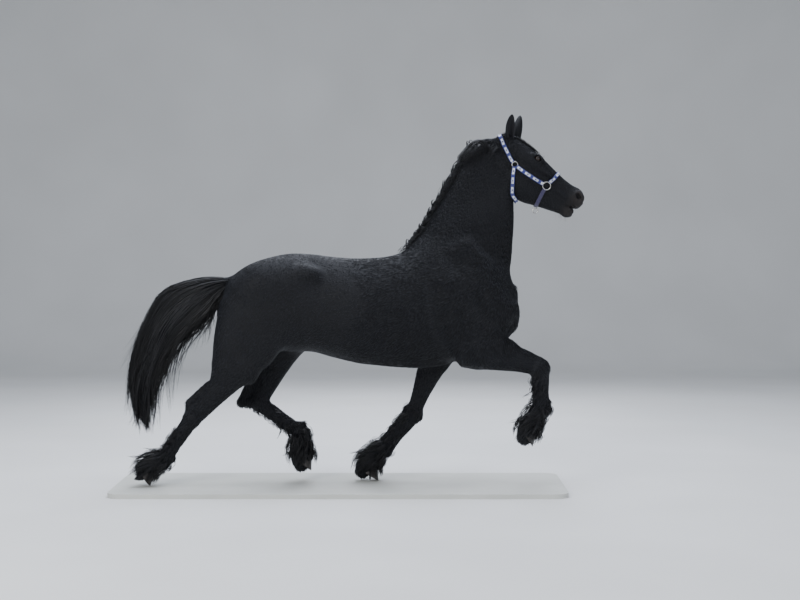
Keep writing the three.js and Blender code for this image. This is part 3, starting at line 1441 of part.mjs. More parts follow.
function addHeadcollar(flesh) {
  const clear = (solid) => clearOf(solid, flesh);
  const cheek = { [RIGHT]: ringPlace([147, -93, -90], 19, 3), [LEFT]: ringPlace([147, -93, 90], 19, 3) };
  const nose = { [RIGHT]: ringPlace([402, -67, -70], 26, 3.2), [LEFT]: ringPlace([402, -67, 70], 26, 3.2) };
  const around = (ring) => ({ centre: ring.centre, away: ring.radius + ring.tube + 3 });
  const both = (path) => [
    ...path.map(([s, n, y]) => [s, n, -y]),
    ...path.slice(0, -1).reverse().map(([s, n, y]) => [s, n, y]),
  ];
  const cheeks = [around(cheek[RIGHT]), around(cheek[LEFT])];
  const noses = [around(nose[RIGHT]), around(nose[LEFT])];
  const crown = [
    [147, -93, 88], [112, -84, 84], [62, -58, 74], [12, -34, 62], [-28, -6, 40], [-44, 6, 0],
  ];
  const throat = [
    [147, -93, 88], [180, -142, 78], [222, -196, 70], [256, -238, 50], [276, -262, 24], [282, -268, 0],
  ];
  const band = [[402, -67, 66], [404, -30, 66], [409, 20, 52], [413, 48, 26], [414, 54, 0]];
  const chin = [[402, -67, 66], [410, -120, 58], [424, -180, 46], [434, -212, 26], [438, -220, 0]];
  addPiece("halter_crown", clear(strapSolid(both(crown), cheeks, 18)), "webbing");
  addPiece("halter_throat", clear(strapSolid(both(throat), cheeks, 18, STRAP.throatClearance)), "webbing");
  addPiece("halter_noseband", clear(strapSolid(both(band), noses, 12)), "webbing");
  addPiece("halter_chin", clear(strapSolid(both(chin), noses, 14)), "webbing");
  for (const side of [RIGHT, LEFT]) {
    const word = side === RIGHT ? "right" : "left";
    const path = [[147, -93, 88], [230, -90, 84], [320, -80, 76], [402, -67, 66]];
    const run = path.map(([s, n, y]) => [s, n, side * y]);
    const strap = strapSolid(run, [around(cheek[side]), around(nose[side])], 8);
    addPiece(`halter_cheek_${word}`, clear(strap), "webbing");
    addPiece(`halter_cheek_ring_${word}`, ringSolid(cheek[side]), "metal");
    addPiece(`halter_nose_ring_${word}`, ringSolid(nose[side]), "metal");
  }
  addChinRing();
}

function addChinRing() {
  const ring = { radius: 17, tube: 3 };
  const under = ontoHead(fromHead(438, -220, 0), STRAP.clearance + STRAP.thick);
  const down = new THREE.Vector3(0, 0, -1);
  const centre = under.clone().addScaledVector(down, ring.radius + ring.tube + 3);
  const turn = new THREE.Quaternion().setFromAxisAngle(new THREE.Vector3(1, 0, 0), Math.PI / 2);
  addPiece("halter_chin_ring", ringSolid({ centre, turn, ...ring }), "metal");
}

function addBase() {
  const { length, width, corner, height } = BASE;
  const outline = new THREE.Shape();
  const x = length / 2 - corner;
  const y = width / 2 - corner;
  outline.moveTo(-x, -width / 2);
  outline.lineTo(x, -width / 2);
  outline.absarc(x, -y, corner, -Math.PI / 2, 0);
  outline.absarc(x, y, corner, 0, Math.PI / 2);
  outline.absarc(-x, y, corner, Math.PI / 2, Math.PI);
  outline.absarc(-x, -y, corner, Math.PI, 1.5 * Math.PI);
  const extrusion = { depth: height, bevelEnabled: false, curveSegments: 3 };
  const plate = new THREE.ExtrudeGeometry(outline, extrusion);
  addPiece("stand_base", solidFromGeometry(plate), "base", horse);
}

const torso = addTorso();
const neckPiece = addNeck();
const headPiece = addHead();
addEars(headPiece);
addTail(torso);
for (const side of [RIGHT, LEFT]) {
  addHindLeg(side);
  addForeLeg(side);
}
addHeadcollar([headPiece, neckPiece]);
addBase();

export default horse;
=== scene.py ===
"""A Friesian horse in an extended trot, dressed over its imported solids.

Lengths in the anatomy are millimetres from the ground, as a horse is measured, and meshes are in metres.
The horse faces +X and its right side, which the camera sees, is at -Y.
"""

import math

import bpy
import numpy as np
from bpy.props import FloatProperty, FloatVectorProperty, PointerProperty
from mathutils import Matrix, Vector


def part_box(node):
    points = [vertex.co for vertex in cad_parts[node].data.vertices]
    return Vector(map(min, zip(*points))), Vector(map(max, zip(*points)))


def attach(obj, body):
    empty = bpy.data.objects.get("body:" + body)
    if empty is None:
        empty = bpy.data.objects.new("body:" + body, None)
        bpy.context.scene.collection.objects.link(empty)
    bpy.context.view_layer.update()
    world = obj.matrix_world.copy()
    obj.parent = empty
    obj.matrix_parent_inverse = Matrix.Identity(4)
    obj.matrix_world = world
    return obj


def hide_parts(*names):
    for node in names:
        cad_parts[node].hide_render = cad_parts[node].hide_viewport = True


bl_info = {
    "name": "Trotting Black Horse",
    "version": (1, 0, 0),
    "blender": (4, 5, 0),
    "location": "View3D > Sidebar > Horse",
    "description": "Skin, coat, long hair, headcollar and stand of a life-size horse model",
    "category": "Add Mesh",
}

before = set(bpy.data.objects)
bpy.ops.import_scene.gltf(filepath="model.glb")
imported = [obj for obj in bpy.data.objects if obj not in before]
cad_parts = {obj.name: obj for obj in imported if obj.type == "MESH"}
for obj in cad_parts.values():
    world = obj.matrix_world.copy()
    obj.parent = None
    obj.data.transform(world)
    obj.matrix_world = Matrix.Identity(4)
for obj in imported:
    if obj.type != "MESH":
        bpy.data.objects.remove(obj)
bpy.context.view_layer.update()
BODY = "root"
MM = 0.001
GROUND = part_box("stand_base")[1].z
RIGHT, LEFT = -1, 1
SIDES = {RIGHT: "right", LEFT: "left"}
FAR = 1000.0
REACH = 130.0
SEED = 20


# The anatomy

POLL = (1085, 2270)
HEAD_PITCH = math.radians(39.1)
HEAD_AXIS = np.array([math.cos(HEAD_PITCH), 0, -math.sin(HEAD_PITCH)])
HEAD_NORMAL = np.array([math.sin(HEAD_PITCH), 0, math.cos(HEAD_PITCH)])
HOOF = {
    "sole": 142, "half": 64, "coronet": 52, "wall_run": 60, "wall_rise": 77, "heel_run": 132,
    "heel_rise": 45,
}
CROWN_OF_HOOF = ((HOOF["wall_run"] + HOOF["heel_run"]) / 2, (HOOF["wall_rise"] + HOOF["heel_rise"]) / 2)
EYE = {"s": 243, "n": 34, "y": 77, "radius": 21, "long": 21.5, "high": 13.5}
LEG_THICK = {"hind": 1.06, "fore": 1.26}

# The joints of each leg: x, z and distance from the middle plane. Roll lifts the heel above the toe, in
# degrees, and flow is the way the leg's long hair streams.
HIND = {
    RIGHT: {
        "hip": (-470, 1190, 148), "knee": (-652, 772, 158), "hock": (-968, 440, 135),
        "fetlock": (-1150, 162, 122), "toe": (-1240, 0, 118), "roll": 58, "flow": (-0.92, -0.3),
    },
    LEFT: {
        "hip": (-470, 1190, 148), "knee": (-360, 898, 162), "hock": (-556, 526, 132),
        "fetlock": (-254, 317, 122), "toe": (-198, 67, 118), "roll": 40, "flow": (-0.8, -0.75),
    },
}
FORE = {
    RIGHT: {
        "shoulder": (1060, 1140, 150), "elbow": (853, 872, 158), "knee": (1310, 768, 128),
        "fetlock": (1327, 503, 120), "toe": (1263, 257, 118), "roll": 57, "flow": (-0.75, -0.5),
    },
    LEFT: {
        "shoulder": (1010, 1130, 150), "elbow": (650, 845, 158), "knee": (486, 454, 128),
        "fetlock": (292, 213, 120), "toe": (253, 0, 118), "roll": 32, "flow": (-0.85, -0.3),
    },
}

# The trunk along x: top, underside, height of the widest place, half width there.
TRUNK = [
    (-780, 1205, 1030, 1115, 50), (-745, 1328, 970, 1130, 118), (-690, 1390, 935, 1150, 172),
    (-600, 1450, 908, 1170, 226), (-480, 1494, 888, 1180, 264), (-330, 1523, 874, 1180, 282),
    (-180, 1519, 872, 1155, 278), (-50, 1503, 838, 1125, 288), (120, 1491, 800, 1105, 305),
    (280, 1498, 782, 1100, 308), (400, 1524, 772, 1110, 296), (520, 1560, 768, 1130, 272),
    (640, 1560, 778, 1150, 250), (780, 1540, 815, 1160, 234), (900, 1500, 845, 1170, 222),
    (1000, 1450, 880, 1180, 205), (1080, 1390, 940, 1185, 176), (1138, 1310, 1030, 1185, 120),
]
# The neck from the poll down: x, z, depth to the crest, depth to the throat, half width.
NECK = [
    (1030, 2205, 62, 96, 54), (998, 2140, 124, 150, 62), (965, 2055, 171, 176, 70),
    (942, 1960, 209, 206, 80), (919, 1862, 236, 234, 92), (896, 1770, 260, 257, 106),
    (868, 1670, 286, 280, 123), (838, 1570, 316, 305, 143), (802, 1470, 332, 330, 166),
    (762, 1360, 330, 345, 190),
]
# The skull from poll to muzzle, in the head's own frame: s, depth to the face, depth below, half width.
SKULL = [
    (-10, 40, 70, 58), (60, 55, 75, 68), (120, 63, 75, 80), (185, 69, 70, 92), (246, 66, 62, 96),
    (310, 61, 70, 80), (393, 53, 76, 63), (475, 48, 72, 52), (553, 51, 66, 50), (601, 48, 62, 54),
    (628, 32, 58, 50),
]
# The jaw and the cheek: s, n of the line, depth up, depth down, half width.
JAW = [
    (215, -120, 110, 105, 62), (270, -135, 120, 118, 68), (330, -132, 110, 117, 66), (400, -125, 80, 96, 54),
    (470, -120, 66, 73, 42), (535, -112, 50, 56, 37), (590, -106, 42, 42, 38), (624, -104, 34, 34, 36),
]
CHEEK = [
    (70, -50, 60, 60, 56), (150, -70, 76, 76, 64), (246, -66, 70, 70, 78), (330, -62, 66, 66, 66),
    (400, -60, 56, 56, 54), (480, -60, 44, 44, 45), (553, -62, 32, 32, 44), (595, -62, 24, 24, 42),
]
# The tail from the dock to the tips: x, z, depth to its outer side, depth to its inner side, half width.
TAIL = [
    (-680, 1345, 28, 40, 40), (-790, 1322, 64, 84, 50), (-930, 1262, 108, 158, 60),
    (-1060, 1156, 170, 166, 66), (-1170, 1012, 140, 134, 66), (-1250, 850, 116, 118, 60),
    (-1300, 690, 86, 108, 54), (-1304, 545, 66, 94, 48), (-1296, 440, 52, 80, 42),
    (-1288, 370, 44, 66, 36),
]
DOCK = [
    (-680, 1345, 0, 30, 40, 36), (-800, 1326, 0, 32, 36, 30), (-930, 1262, 0, 26, 30, 24),
    (-1040, 1170, 0, 18, 20, 16),
]


class Form:
    """A shape as the distance to its surface, negative inside, with the box that holds it."""

    def __init__(self, distance, low, high):
        self.distance = distance
        self.low = np.asarray(low, float) - REACH
        self.high = np.asarray(high, float) + REACH

    def near(self, p):
        return np.flatnonzero(((p > self.low) & (p < self.high)).all(1))


def blend_min(a, b, k):
    h = np.maximum(k - np.abs(a - b), 0) / k
    return np.minimum(a, b) - h * h * k / 4


def blend_max(a, b, k):
    return -blend_min(-a, -b, k)


def step_up(x, low, high):
    t = np.clip((x - low) / (high - low), 0, 1)
    return t * t * (3 - 2 * t)


def unit(v):
    return v / np.maximum(np.linalg.norm(v, axis=-1, keepdims=True), 1e-9)


def smooth_run(stations, places):
    """Values through given stations, whose first number is the place along the run."""
    rows = np.asarray(stations, float)
    last = len(rows) - 1
    low = np.maximum(np.arange(last + 1) - 1, 0)
    high = np.minimum(np.arange(last + 1) + 1, last)
    slopes = (rows[high] - rows[low]) / (rows[high, :1] - rows[low, :1])
    at = np.clip(places, rows[0, 0], rows[last, 0])
    i = np.clip(np.searchsorted(rows[:, 0], at, side="right") - 1, 0, last - 1)
    span = (rows[i + 1, 0] - rows[i, 0])[:, None]
    t = ((at - rows[i, 0]))[:, None] / span
    t2, t3 = t * t, t * t * t
    ends = rows[i] * (2 * t3 - 3 * t2 + 1) + rows[i + 1] * (3 * t2 - 2 * t3)
    return ends + span * (slopes[i] * (t3 - 2 * t2 + t) + slopes[i + 1] * (t3 - t2))


def section_distance(u, v, w, a, b, c, power):
    """The distance to a section with half axes a, b and c, by its steepness at the point."""
    u, v, w = (np.maximum(np.abs(x), 1e-6) for x in (u, v, w))
    pu, pv, pw = (u / a) ** power, (v / b) ** power, (w / c) ** power
    f = (pu + pv + pw) ** (1 / power)
    scale = f ** (1 - power)
    steep = np.sqrt((pu / u * scale) ** 2 + (pv / v * scale) ** 2 + (pw / w * scale) ** 2)
    return np.where(f < 0.25, (f - 1) * np.minimum(a, b), (f - 1) / np.maximum(steep, 1e-9))


def sweep(stations, power=2.0, behind_power=None, cap=0.8, steps=4):
    """A section carried along a line in the upright plane. A station is x, z, y, depth behind the line,
    depth in front of it, half width."""
    rows = np.asarray(stations, float)
    behind_power = behind_power or power
    run = np.concatenate([[0], np.cumsum(np.hypot(*np.diff(rows[:, :2], axis=0).T))])
    count = (len(rows) - 1) * steps
    line = smooth_run(np.column_stack([run, rows]), np.linspace(0, run[-1], count + 1))[:, 1:]

    def distance(p):
        best = np.full(len(p), np.inf)
        index = np.zeros(len(p), int)
        along = np.zeros(len(p))
        for i in range(count):
            dx, dz = line[i + 1, :2] - line[i, :2]
            ex, ez = p[:, 0] - line[i, 0], p[:, 2] - line[i, 1]
            t = np.clip((ex * dx + ez * dz) / (dx * dx + dz * dz), 0, 1)
            away = (ex - t * dx) ** 2 + (ez - t * dz) ** 2
            closer = away < best
            best = np.where(closer, away, best)
            index = np.where(closer, i, index)
            along = np.where(closer, t, along)
        start, end = line[index], line[index + 1]
        px, pz, py, behind, front, half = (start + (end - start) * along[:, None]).T
        way = unit(end[:, :2] - start[:, :2])
        ex, ez = p[:, 0] - px, p[:, 2] - pz
        side = ez * way[:, 0] - ex * way[:, 1]
        beyond = ((index == 0) & (along == 0)) | ((index == count - 1) & (along == 1))
        w = np.where(beyond, ex * way[:, 0] + ez * way[:, 1], 0)
        u = np.where(beyond, side, np.sqrt(best))
        depth = np.where(side > 0, front, behind)
        end_round = cap * np.minimum(depth, half)
        return section_distance(
            u, p[:, 1] - py, w, depth, half, end_round, np.where(side > 0, power, behind_power)
        )

    reach = line[:, 3:5].max(1)
    low = (line[:, [0, 2, 1]] - np.column_stack([reach, line[:, 5], reach])).min(0)
    high = (line[:, [0, 2, 1]] + np.column_stack([reach, line[:, 5], reach])).max(0)
    return Form(distance, low, high)


def muscle(centre, radii, tilt=0.0):
    """An ellipsoid: centre x, z, y and radii along x, z, y, tilted in the upright plane by degrees."""
    cx, cz, cy = centre
    rx, rz, ry = radii
    cos, sin = math.cos(math.radians(tilt)), math.sin(math.radians(tilt))

    def distance(p):
        dx, dz = p[:, 0] - cx, p[:, 2] - cz
        return section_distance(dx * cos + dz * sin, p[:, 1] - cy, dz * cos - dx * sin, rx, ry, rz, 2.0)

    reach = max(rx, rz)
    return Form(distance, (cx - reach, cy - ry, cz - reach), (cx + reach, cy + ry, cz + reach))


def joined(parts):
    """Forms blended into one, each with how softly it flows into those before it."""

    def distance(p):
        d = np.full(len(p), FAR)
        for form, k in parts:
            near = form.near(p)
            d[near] = blend_min(d[near], form.distance(p[near]), k)
        return d

    low = np.min([form.low for form, _ in parts], axis=0) + REACH
    high = np.max([form.high for form, _ in parts], axis=0) - REACH
    return Form(distance, low, high)


def mix(a, b, t):
    return a + (b - a) * t


def bone_way(start, end):
    length = math.hypot(end[0] - start[0], end[1] - start[1])
    return (end[0] - start[0]) / length, (end[1] - start[1]) / length


def bone(start, end, side, rows, **options):
    """Sections along a bone: t from upper to lower joint, depth behind, depth in front, half width."""
    return sweep([(*off_bone(start, end, side, row[0], 0), *row[1:]) for row in rows], **options)


def off_bone(start, end, side, t, forward):
    """A point off a bone: t along it, then forward of it."""
    dx, dz = bone_way(start, end)
    return (
        mix(start[0], end[0], t) - dz * forward,
        mix(start[1], end[1], t) + dx * forward,
        side * mix(start[2], end[2], t),
    )


def foot_point(leg, run, rise):
    """A place in the foot's own frame: from the toe towards the heel, and up from the sole."""
    roll = math.radians(leg["roll"])
    x, z, _ = leg["toe"]
    return (
        x - math.cos(roll) * run + math.sin(roll) * rise,
        z + math.sin(roll) * run + math.cos(roll) * rise,
    )


def coronet(leg):
    x, z = foot_point(leg, *CROWN_OF_HOOF)
    return x, z, leg["toe"][2]


def lower_leg(joint, leg, side, thick):
    cannon = bone(joint, leg["fetlock"], side, [
        (0.0, 52 * thick, 50 * thick, 42 * thick), (0.25, 48 * thick, 46 * thick, 37 * thick),
        (0.6, 48 * thick, 39 * thick, 34 * thick), (0.85, 50 * thick, 41 * thick, 36 * thick),
        (1.0, 52 * thick, 43 * thick, 41 * thick),
    ])
    pastern = bone(leg["fetlock"], coronet(leg), side, [
        (0.0, 48 * thick, 42 * thick, 40 * thick), (0.35, 40 * thick, 37 * thick, 36 * thick),
        (0.7, 40 * thick, 40 * thick, 42 * thick), (1.05, 44 * thick, 44 * thick, 50 * thick),
    ])
    ergot = muscle(off_bone(joint, leg["fetlock"], side, 1.0, -36), (30, 36, 26))
    groove = sweep([
        (*off_bone(joint, leg["fetlock"], side, 0.15, -34 * thick), 13, 13, 22 * thick),
        (*off_bone(joint, leg["fetlock"], side, 0.85, -34 * thick), 15, 15, 25 * thick),
    ])
    return joined([(cannon, 1), (pastern, 22), (ergot, 20), (groove, 6)])


def hind_leg(side):
    leg = HIND[side]
    hip, knee, hock = leg["hip"], leg["knee"], leg["hock"]
    straight = 1 if side == RIGHT else 0
    thigh = bone(hip, knee, side, [
        (-0.3, 190, 150, 96), (0.0, 258, 196, 122), (0.35, 250, 205, 126), (0.7, 215, 182, 112),
        (1.0, 168, 120, 92),
    ], power=2.2)
    gaskin = bone(knee, hock, side, [
        (-0.05, 122 + 34 * straight, 100, 84), (0.18, 104 + 16 * straight, 92, 78), (0.42, 86, 78, 64),
        (0.72, 66, 66, 50), (0.97, 54, 58, 44),
    ])
    hock_point = off_bone(hock, leg["fetlock"], side, -0.27, -72)
    heel_bone = sweep([(hock[0], hock[1], side * hock[2], 44, 44, 36), (*hock_point, 26, 26, 22)])
    tendon = sweep([
        (*off_bone(knee, hock, side, 0.45, -68), 58 - 28 * straight, 62 - 34 * straight, 24),
        (*off_bone(knee, hock, side, 0.76, -98 + 16 * straight), 38 - 12 * straight, 74 - 44 * straight, 20),
        (*hock_point, 22, 22, 20),
    ])
    kneecap = muscle(off_bone(hip, knee, side, 1.0, 78), (46, 56, 46))
    hamstring = sweep([
        (-690, 1180, side * 105, 92, 90, 84), (*off_bone(hip, knee, side, 0.75, -120), 96, 96, 84),
        (*off_bone(knee, hock, side, 0.22, -52), 62, 60, 56),
    ])
    haunch = muscle((-430, 1320, side * 150), (240, 150, 132), 12)
    hip_point = muscle((-215, 1385, side * 222), (90, 60, 46))
    hock_bones = muscle((hock[0] + 8, hock[1] - 6, side * (hock[2] + 14)), (34, 40, 30))
    return joined([
        (thigh, 1), (gaskin, 60), (kneecap, 40), (hamstring, 60), (haunch, 70), (hip_point, 60),
        (heel_bone, 22), (tendon, 16), (hock_bones, 18), (lower_leg(hock, leg, side, LEG_THICK["hind"]), 26),
    ])


def fore_leg(side):
    leg = FORE[side]
    shoulder, elbow, knee = leg["shoulder"], leg["elbow"], leg["knee"]
    upper_arm = bone(shoulder, elbow, side, [
        (-0.1, 96, 84, 78), (0.3, 130, 92, 84), (0.7, 140, 96, 84), (1.0, 108, 96, 78),
    ])
    blade = sweep([
        (790, 1540, side * 118, 92, 92, 60), (880, 1380, side * 148, 128, 116, 76),
        (985, 1230, side * 158, 120, 100, 78), (shoulder[0], shoulder[1], side * shoulder[2], 82, 82, 72),
    ])
    triceps = sweep([
        (700, 1330, side * 168, 92, 92, 62), (745, 1130, side * 176, 120, 118, 74),
        (*off_bone(shoulder, elbow, side, 0.95, -40), 86, 86, 70),
    ])
    raised = 1 if side == RIGHT else 0
    forearm = bone(elbow, knee, side, [
        (-0.05, 104 - 12 * raised, 92, 76), (0.15, 104 - 16 * raised, 92 + 30 * raised, 74),
        (0.4, 86 - 16 * raised, 72 + 64 * raised, 60), (0.7, 62 - 12 * raised, 54 + 58 * raised, 47),
        (0.95, 50 - 5 * raised, 49 + 34 * raised, 44),
    ])
    fold = muscle((1062, 924, side * 132), (88, 56, 60), -12)
    carpus = muscle(off_bone(elbow, knee, side, 1.0, 3 + 12 * raised), (58, 60, 50))
    pisiform = muscle(off_bone(elbow, knee, side, 0.99, -42), (26, 32, 22))
    return joined([
        (upper_arm, 1), (blade, 60), (triceps, 60), (forearm, 55), (carpus, 22), (pisiform, 16),
        (lower_leg(knee, leg, side, LEG_THICK["fore"]), 26), *([(fold, 50)] if raised else []),
    ])


def head_form():
    """The head in its own frame: s down the face from the poll, n out of the face. Both sides are alike."""
    skull = sweep([(s, 0, 0, down, up, half) for s, up, down, half in SKULL], power=2.3, cap=0.75)
    jaw = sweep([(s, n, 0, down, up, half) for s, n, up, down, half in JAW], power=2.2, cap=0.9)
    cheek = sweep([(s, n, 0, down, up, half) for s, n, up, down, half in CHEEK], power=2.4)
    parts = [
        (skull, 1), (jaw, 30), (cheek, 30),
        (muscle((594, 2, 0), (66, 58, 59)), 22), (muscle((628, -34, 0), (34, 34, 46)), 16),
        (muscle((624, -90, 0), (32, 24, 42)), 10), (muscle((608, -116, 0), (36, 33, 38)), 14),
        (muscle((244, 43, RIGHT * 80), (50, 18, 24), 4), 26),
        (muscle((300, -8, RIGHT * 78), (90, 16, 14), 4), 20),
        (muscle((265, -132, RIGHT * 34), (104, 106, 42)), 24),
        (muscle((EYE["s"], EYE["n"], RIGHT * EYE["y"]), (32, 26, 23)), 14),
        (muscle((606, 20, RIGHT * 44), (38, 27, 22), -30), 10),
        (muscle((470, -46, RIGHT * 44), (90, 12, 14), 3), 18),
    ]
    solid = joined(parts)
    hollows = [
        (muscle((196, 66, RIGHT * 70), (26, 16, 20), 4), 12),
        (muscle((610, 12, RIGHT * 60), (23, 13, 15), -26), 5),
        (muscle((EYE["s"], EYE["n"], RIGHT * (EYE["y"] + 18)), (EYE["long"] + 1, EYE["high"], 16)), 4),
    ]

    def distance(p):
        q = p - (POLL[0], 0, POLL[1])
        local = np.column_stack([q @ HEAD_AXIS, -np.abs(q[:, 1]), q @ HEAD_NORMAL])
        d = solid.distance(local)
        for hollow, k in hollows:
            near = hollow.near(local)
            d[near] = blend_max(d[near], -hollow.distance(local[near]), k)
        lip = local[:, 2] - mix(-84, -60, (local[:, 0] - 575) / 85)
        seam = np.exp(-((lip / 3.6) ** 2)) * step_up(local[:, 0], 570, 592)
        return d + 7 * seam * (np.abs(d) < 20)

    return Form(distance, (900, -140, 1760), (1720, 140, 2400))


def trunk_form():
    def distance(p):
        _, top, bottom, wide, half = smooth_run(TRUNK, p[:, 0]).T
        first, last = TRUNK[0][0], TRUNK[-1][0]
        w = np.where(p[:, 0] < first, p[:, 0] - first, np.maximum(p[:, 0] - last, 0))
        u = p[:, 2] - wide
        return section_distance(u, p[:, 1], w, np.where(u > 0, top - wide, wide - bottom), half, 34.0, 2.25)

    return Form(distance, (-820, -330, 740), (1180, 330, 1600))


def feather_bell(leg, side, fat=1.0):
    """What the leg's long hair lies on: a bell round the fetlock, pastern and hoof."""
    fx, fz, fy = leg["fetlock"]
    cx, cz, _ = coronet(leg)
    dx, dz = bone_way((fx, fz), (cx, cz))
    reach = math.hypot(cx - fx, cz - fz)
    sx, sz = leg["flow"]

    def at(run, stream, back, front, half):
        return (
            fx + dx * run + sx * stream, fz + dz * run + sz * stream, side * fy,
            back * fat, front * fat, half * fat,
        )

    return sweep([
        at(-70, 0, 46, 36, 34), at(0, 8, 74, 46, 48), at(reach * 0.6, 22, 92, 52, 62),
        at(reach + 26, 38, 80, 58, 72), at(reach + 52, 46, 58, 44, 62),
    ], cap=0.5)


def body_parts():
    neck = sweep([(x, z, 0, crest, throat, half) for x, z, crest, throat, half in NECK], 2.2, 1.75, 0.9)
    jugular = {side: sweep([
        (1060, 2010, side * 76, 9, 9, 8), (1060, 1800, side * 108, 11, 11, 9),
        (1052, 1600, side * 146, 12, 12, 10), (1062, 1440, side * 150, 9, 9, 8),
    ]) for side in SIDES}
    pad = sweep([
        (838, 2122, 0, 34, 34, 28), (905, 2196, 0, 42, 42, 32), (968, 2236, 0, 44, 44, 34),
        (1016, 2238, 0, 40, 40, 34),
    ])
    return {
        "trunk": trunk_form(), "neck": neck, "crest": pad, "head": head_form(), "jugular": jugular,
        "dock": sweep(DOCK),
        "bells": [feather_bell(legs[side], side, 0.86) for legs in (HIND, FORE) for side in SIDES],
        "hind": {side: hind_leg(side) for side in SIDES},
        "fore": {side: fore_leg(side) for side in SIDES},
        "breast": {
            RIGHT: muscle((1085, 1110, -72), (78, 120, 84), 10),
            LEFT: muscle((1075, 1110, 72), (78, 120, 84), 10),
        },
    }


PARTS = body_parts()


def flow_in(d, form, p, k, where=None):
    """d with one more form blended in, only where the form can reach."""
    near = form.near(p)
    if where is not None:
        near = near[where[near]]
    d[near] = blend_min(d[near], form.distance(p[near]), k)


def body(p):
    """The distance from each point to the animal without its hair."""
    core = np.full(len(p), FAR)
    flow_in(core, PARTS["trunk"], p, 1)
    flow_in(core, PARTS["neck"], p, 110, (p[:, 2] > 1150) & (p[:, 0] > 350))
    flow_in(core, PARTS["crest"], p, 36)
    flow_in(core, PARTS["dock"], p, 30)
    whole = np.full(len(p), FAR)
    for side in SIDES:
        half = core.copy()
        flow_in(half, PARTS["hind"][side], p, 60, p[:, 0] < 60)
        flow_in(half, PARTS["fore"][side], p, 60, p[:, 0] > 40)
        flow_in(half, PARTS["breast"][side], p, 50, p[:, 0] > 850)
        whole = np.minimum(whole, half)
    for side in SIDES:
        jugular = PARTS["jugular"][side]
        near = jugular.near(p)
        whole[near] = blend_max(whole[near], -jugular.distance(p[near]), 34)
    flow_in(whole, PARTS["head"], p, 34, (p[:, 0] > 880) & (p[:, 2] > 1600))
    for bell in PARTS["bells"]:
        flow_in(whole, bell, p, 16, p[:, 2] < 700)
    return whole


def slope(field, p, step=1.2):
    """The way straight out of a field's surface."""
    middle = field(p)
    rise = [field(p + step * axis) - middle for axis in np.eye(3)]
    return middle, np.stack(rise, 1) / step


def onto(field, p, height=0.0, turns=3, reach=None):
    """Points moved to a height above a field's surface."""
    start, p = p, p.copy()
    for _ in range(turns):
        d, g = slope(field, p)
        p -= g * ((d - height) / np.maximum((g * g).sum(1), 0.05))[:, None]
        if reach is not None:
            moved = p - start
            far = np.linalg.norm(moved, axis=1, keepdims=True)
            p = start + moved * np.minimum(1, reach / np.maximum(far, 1e-9))
    return p


def head_point(s, n, y):
    """Places on the head from its own frame: s down the face, n out of it, y to the left."""
    s, n, y = (np.asarray(value, float)[..., None] for value in np.broadcast_arrays(s, n, y))
    return (POLL[0], 0, POLL[1]) + HEAD_AXIS * s + HEAD_NORMAL * n + y * (0, 1, 0)


# Turning the field into the skin's mesh

GRID = {"coarse": 14.3, "fine": 5.45, "block": 4}
SKIN_DEPTH = 2.5


def skin_field(p):
    """The distance from each point to the skin, which lies over the flesh."""
    return body(p) + SKIN_DEPTH


def graded(low, high, fine_low, fine_high):
    """Places along an axis, closer together between two of its values."""
    places = [low]
    while places[-1] < high:
        away = max(fine_low - places[-1], places[-1] - fine_high, 0)
        places.append(places[-1] + mix(GRID["fine"], GRID["coarse"], min(away / 110, 1)))
    return np.array(places)


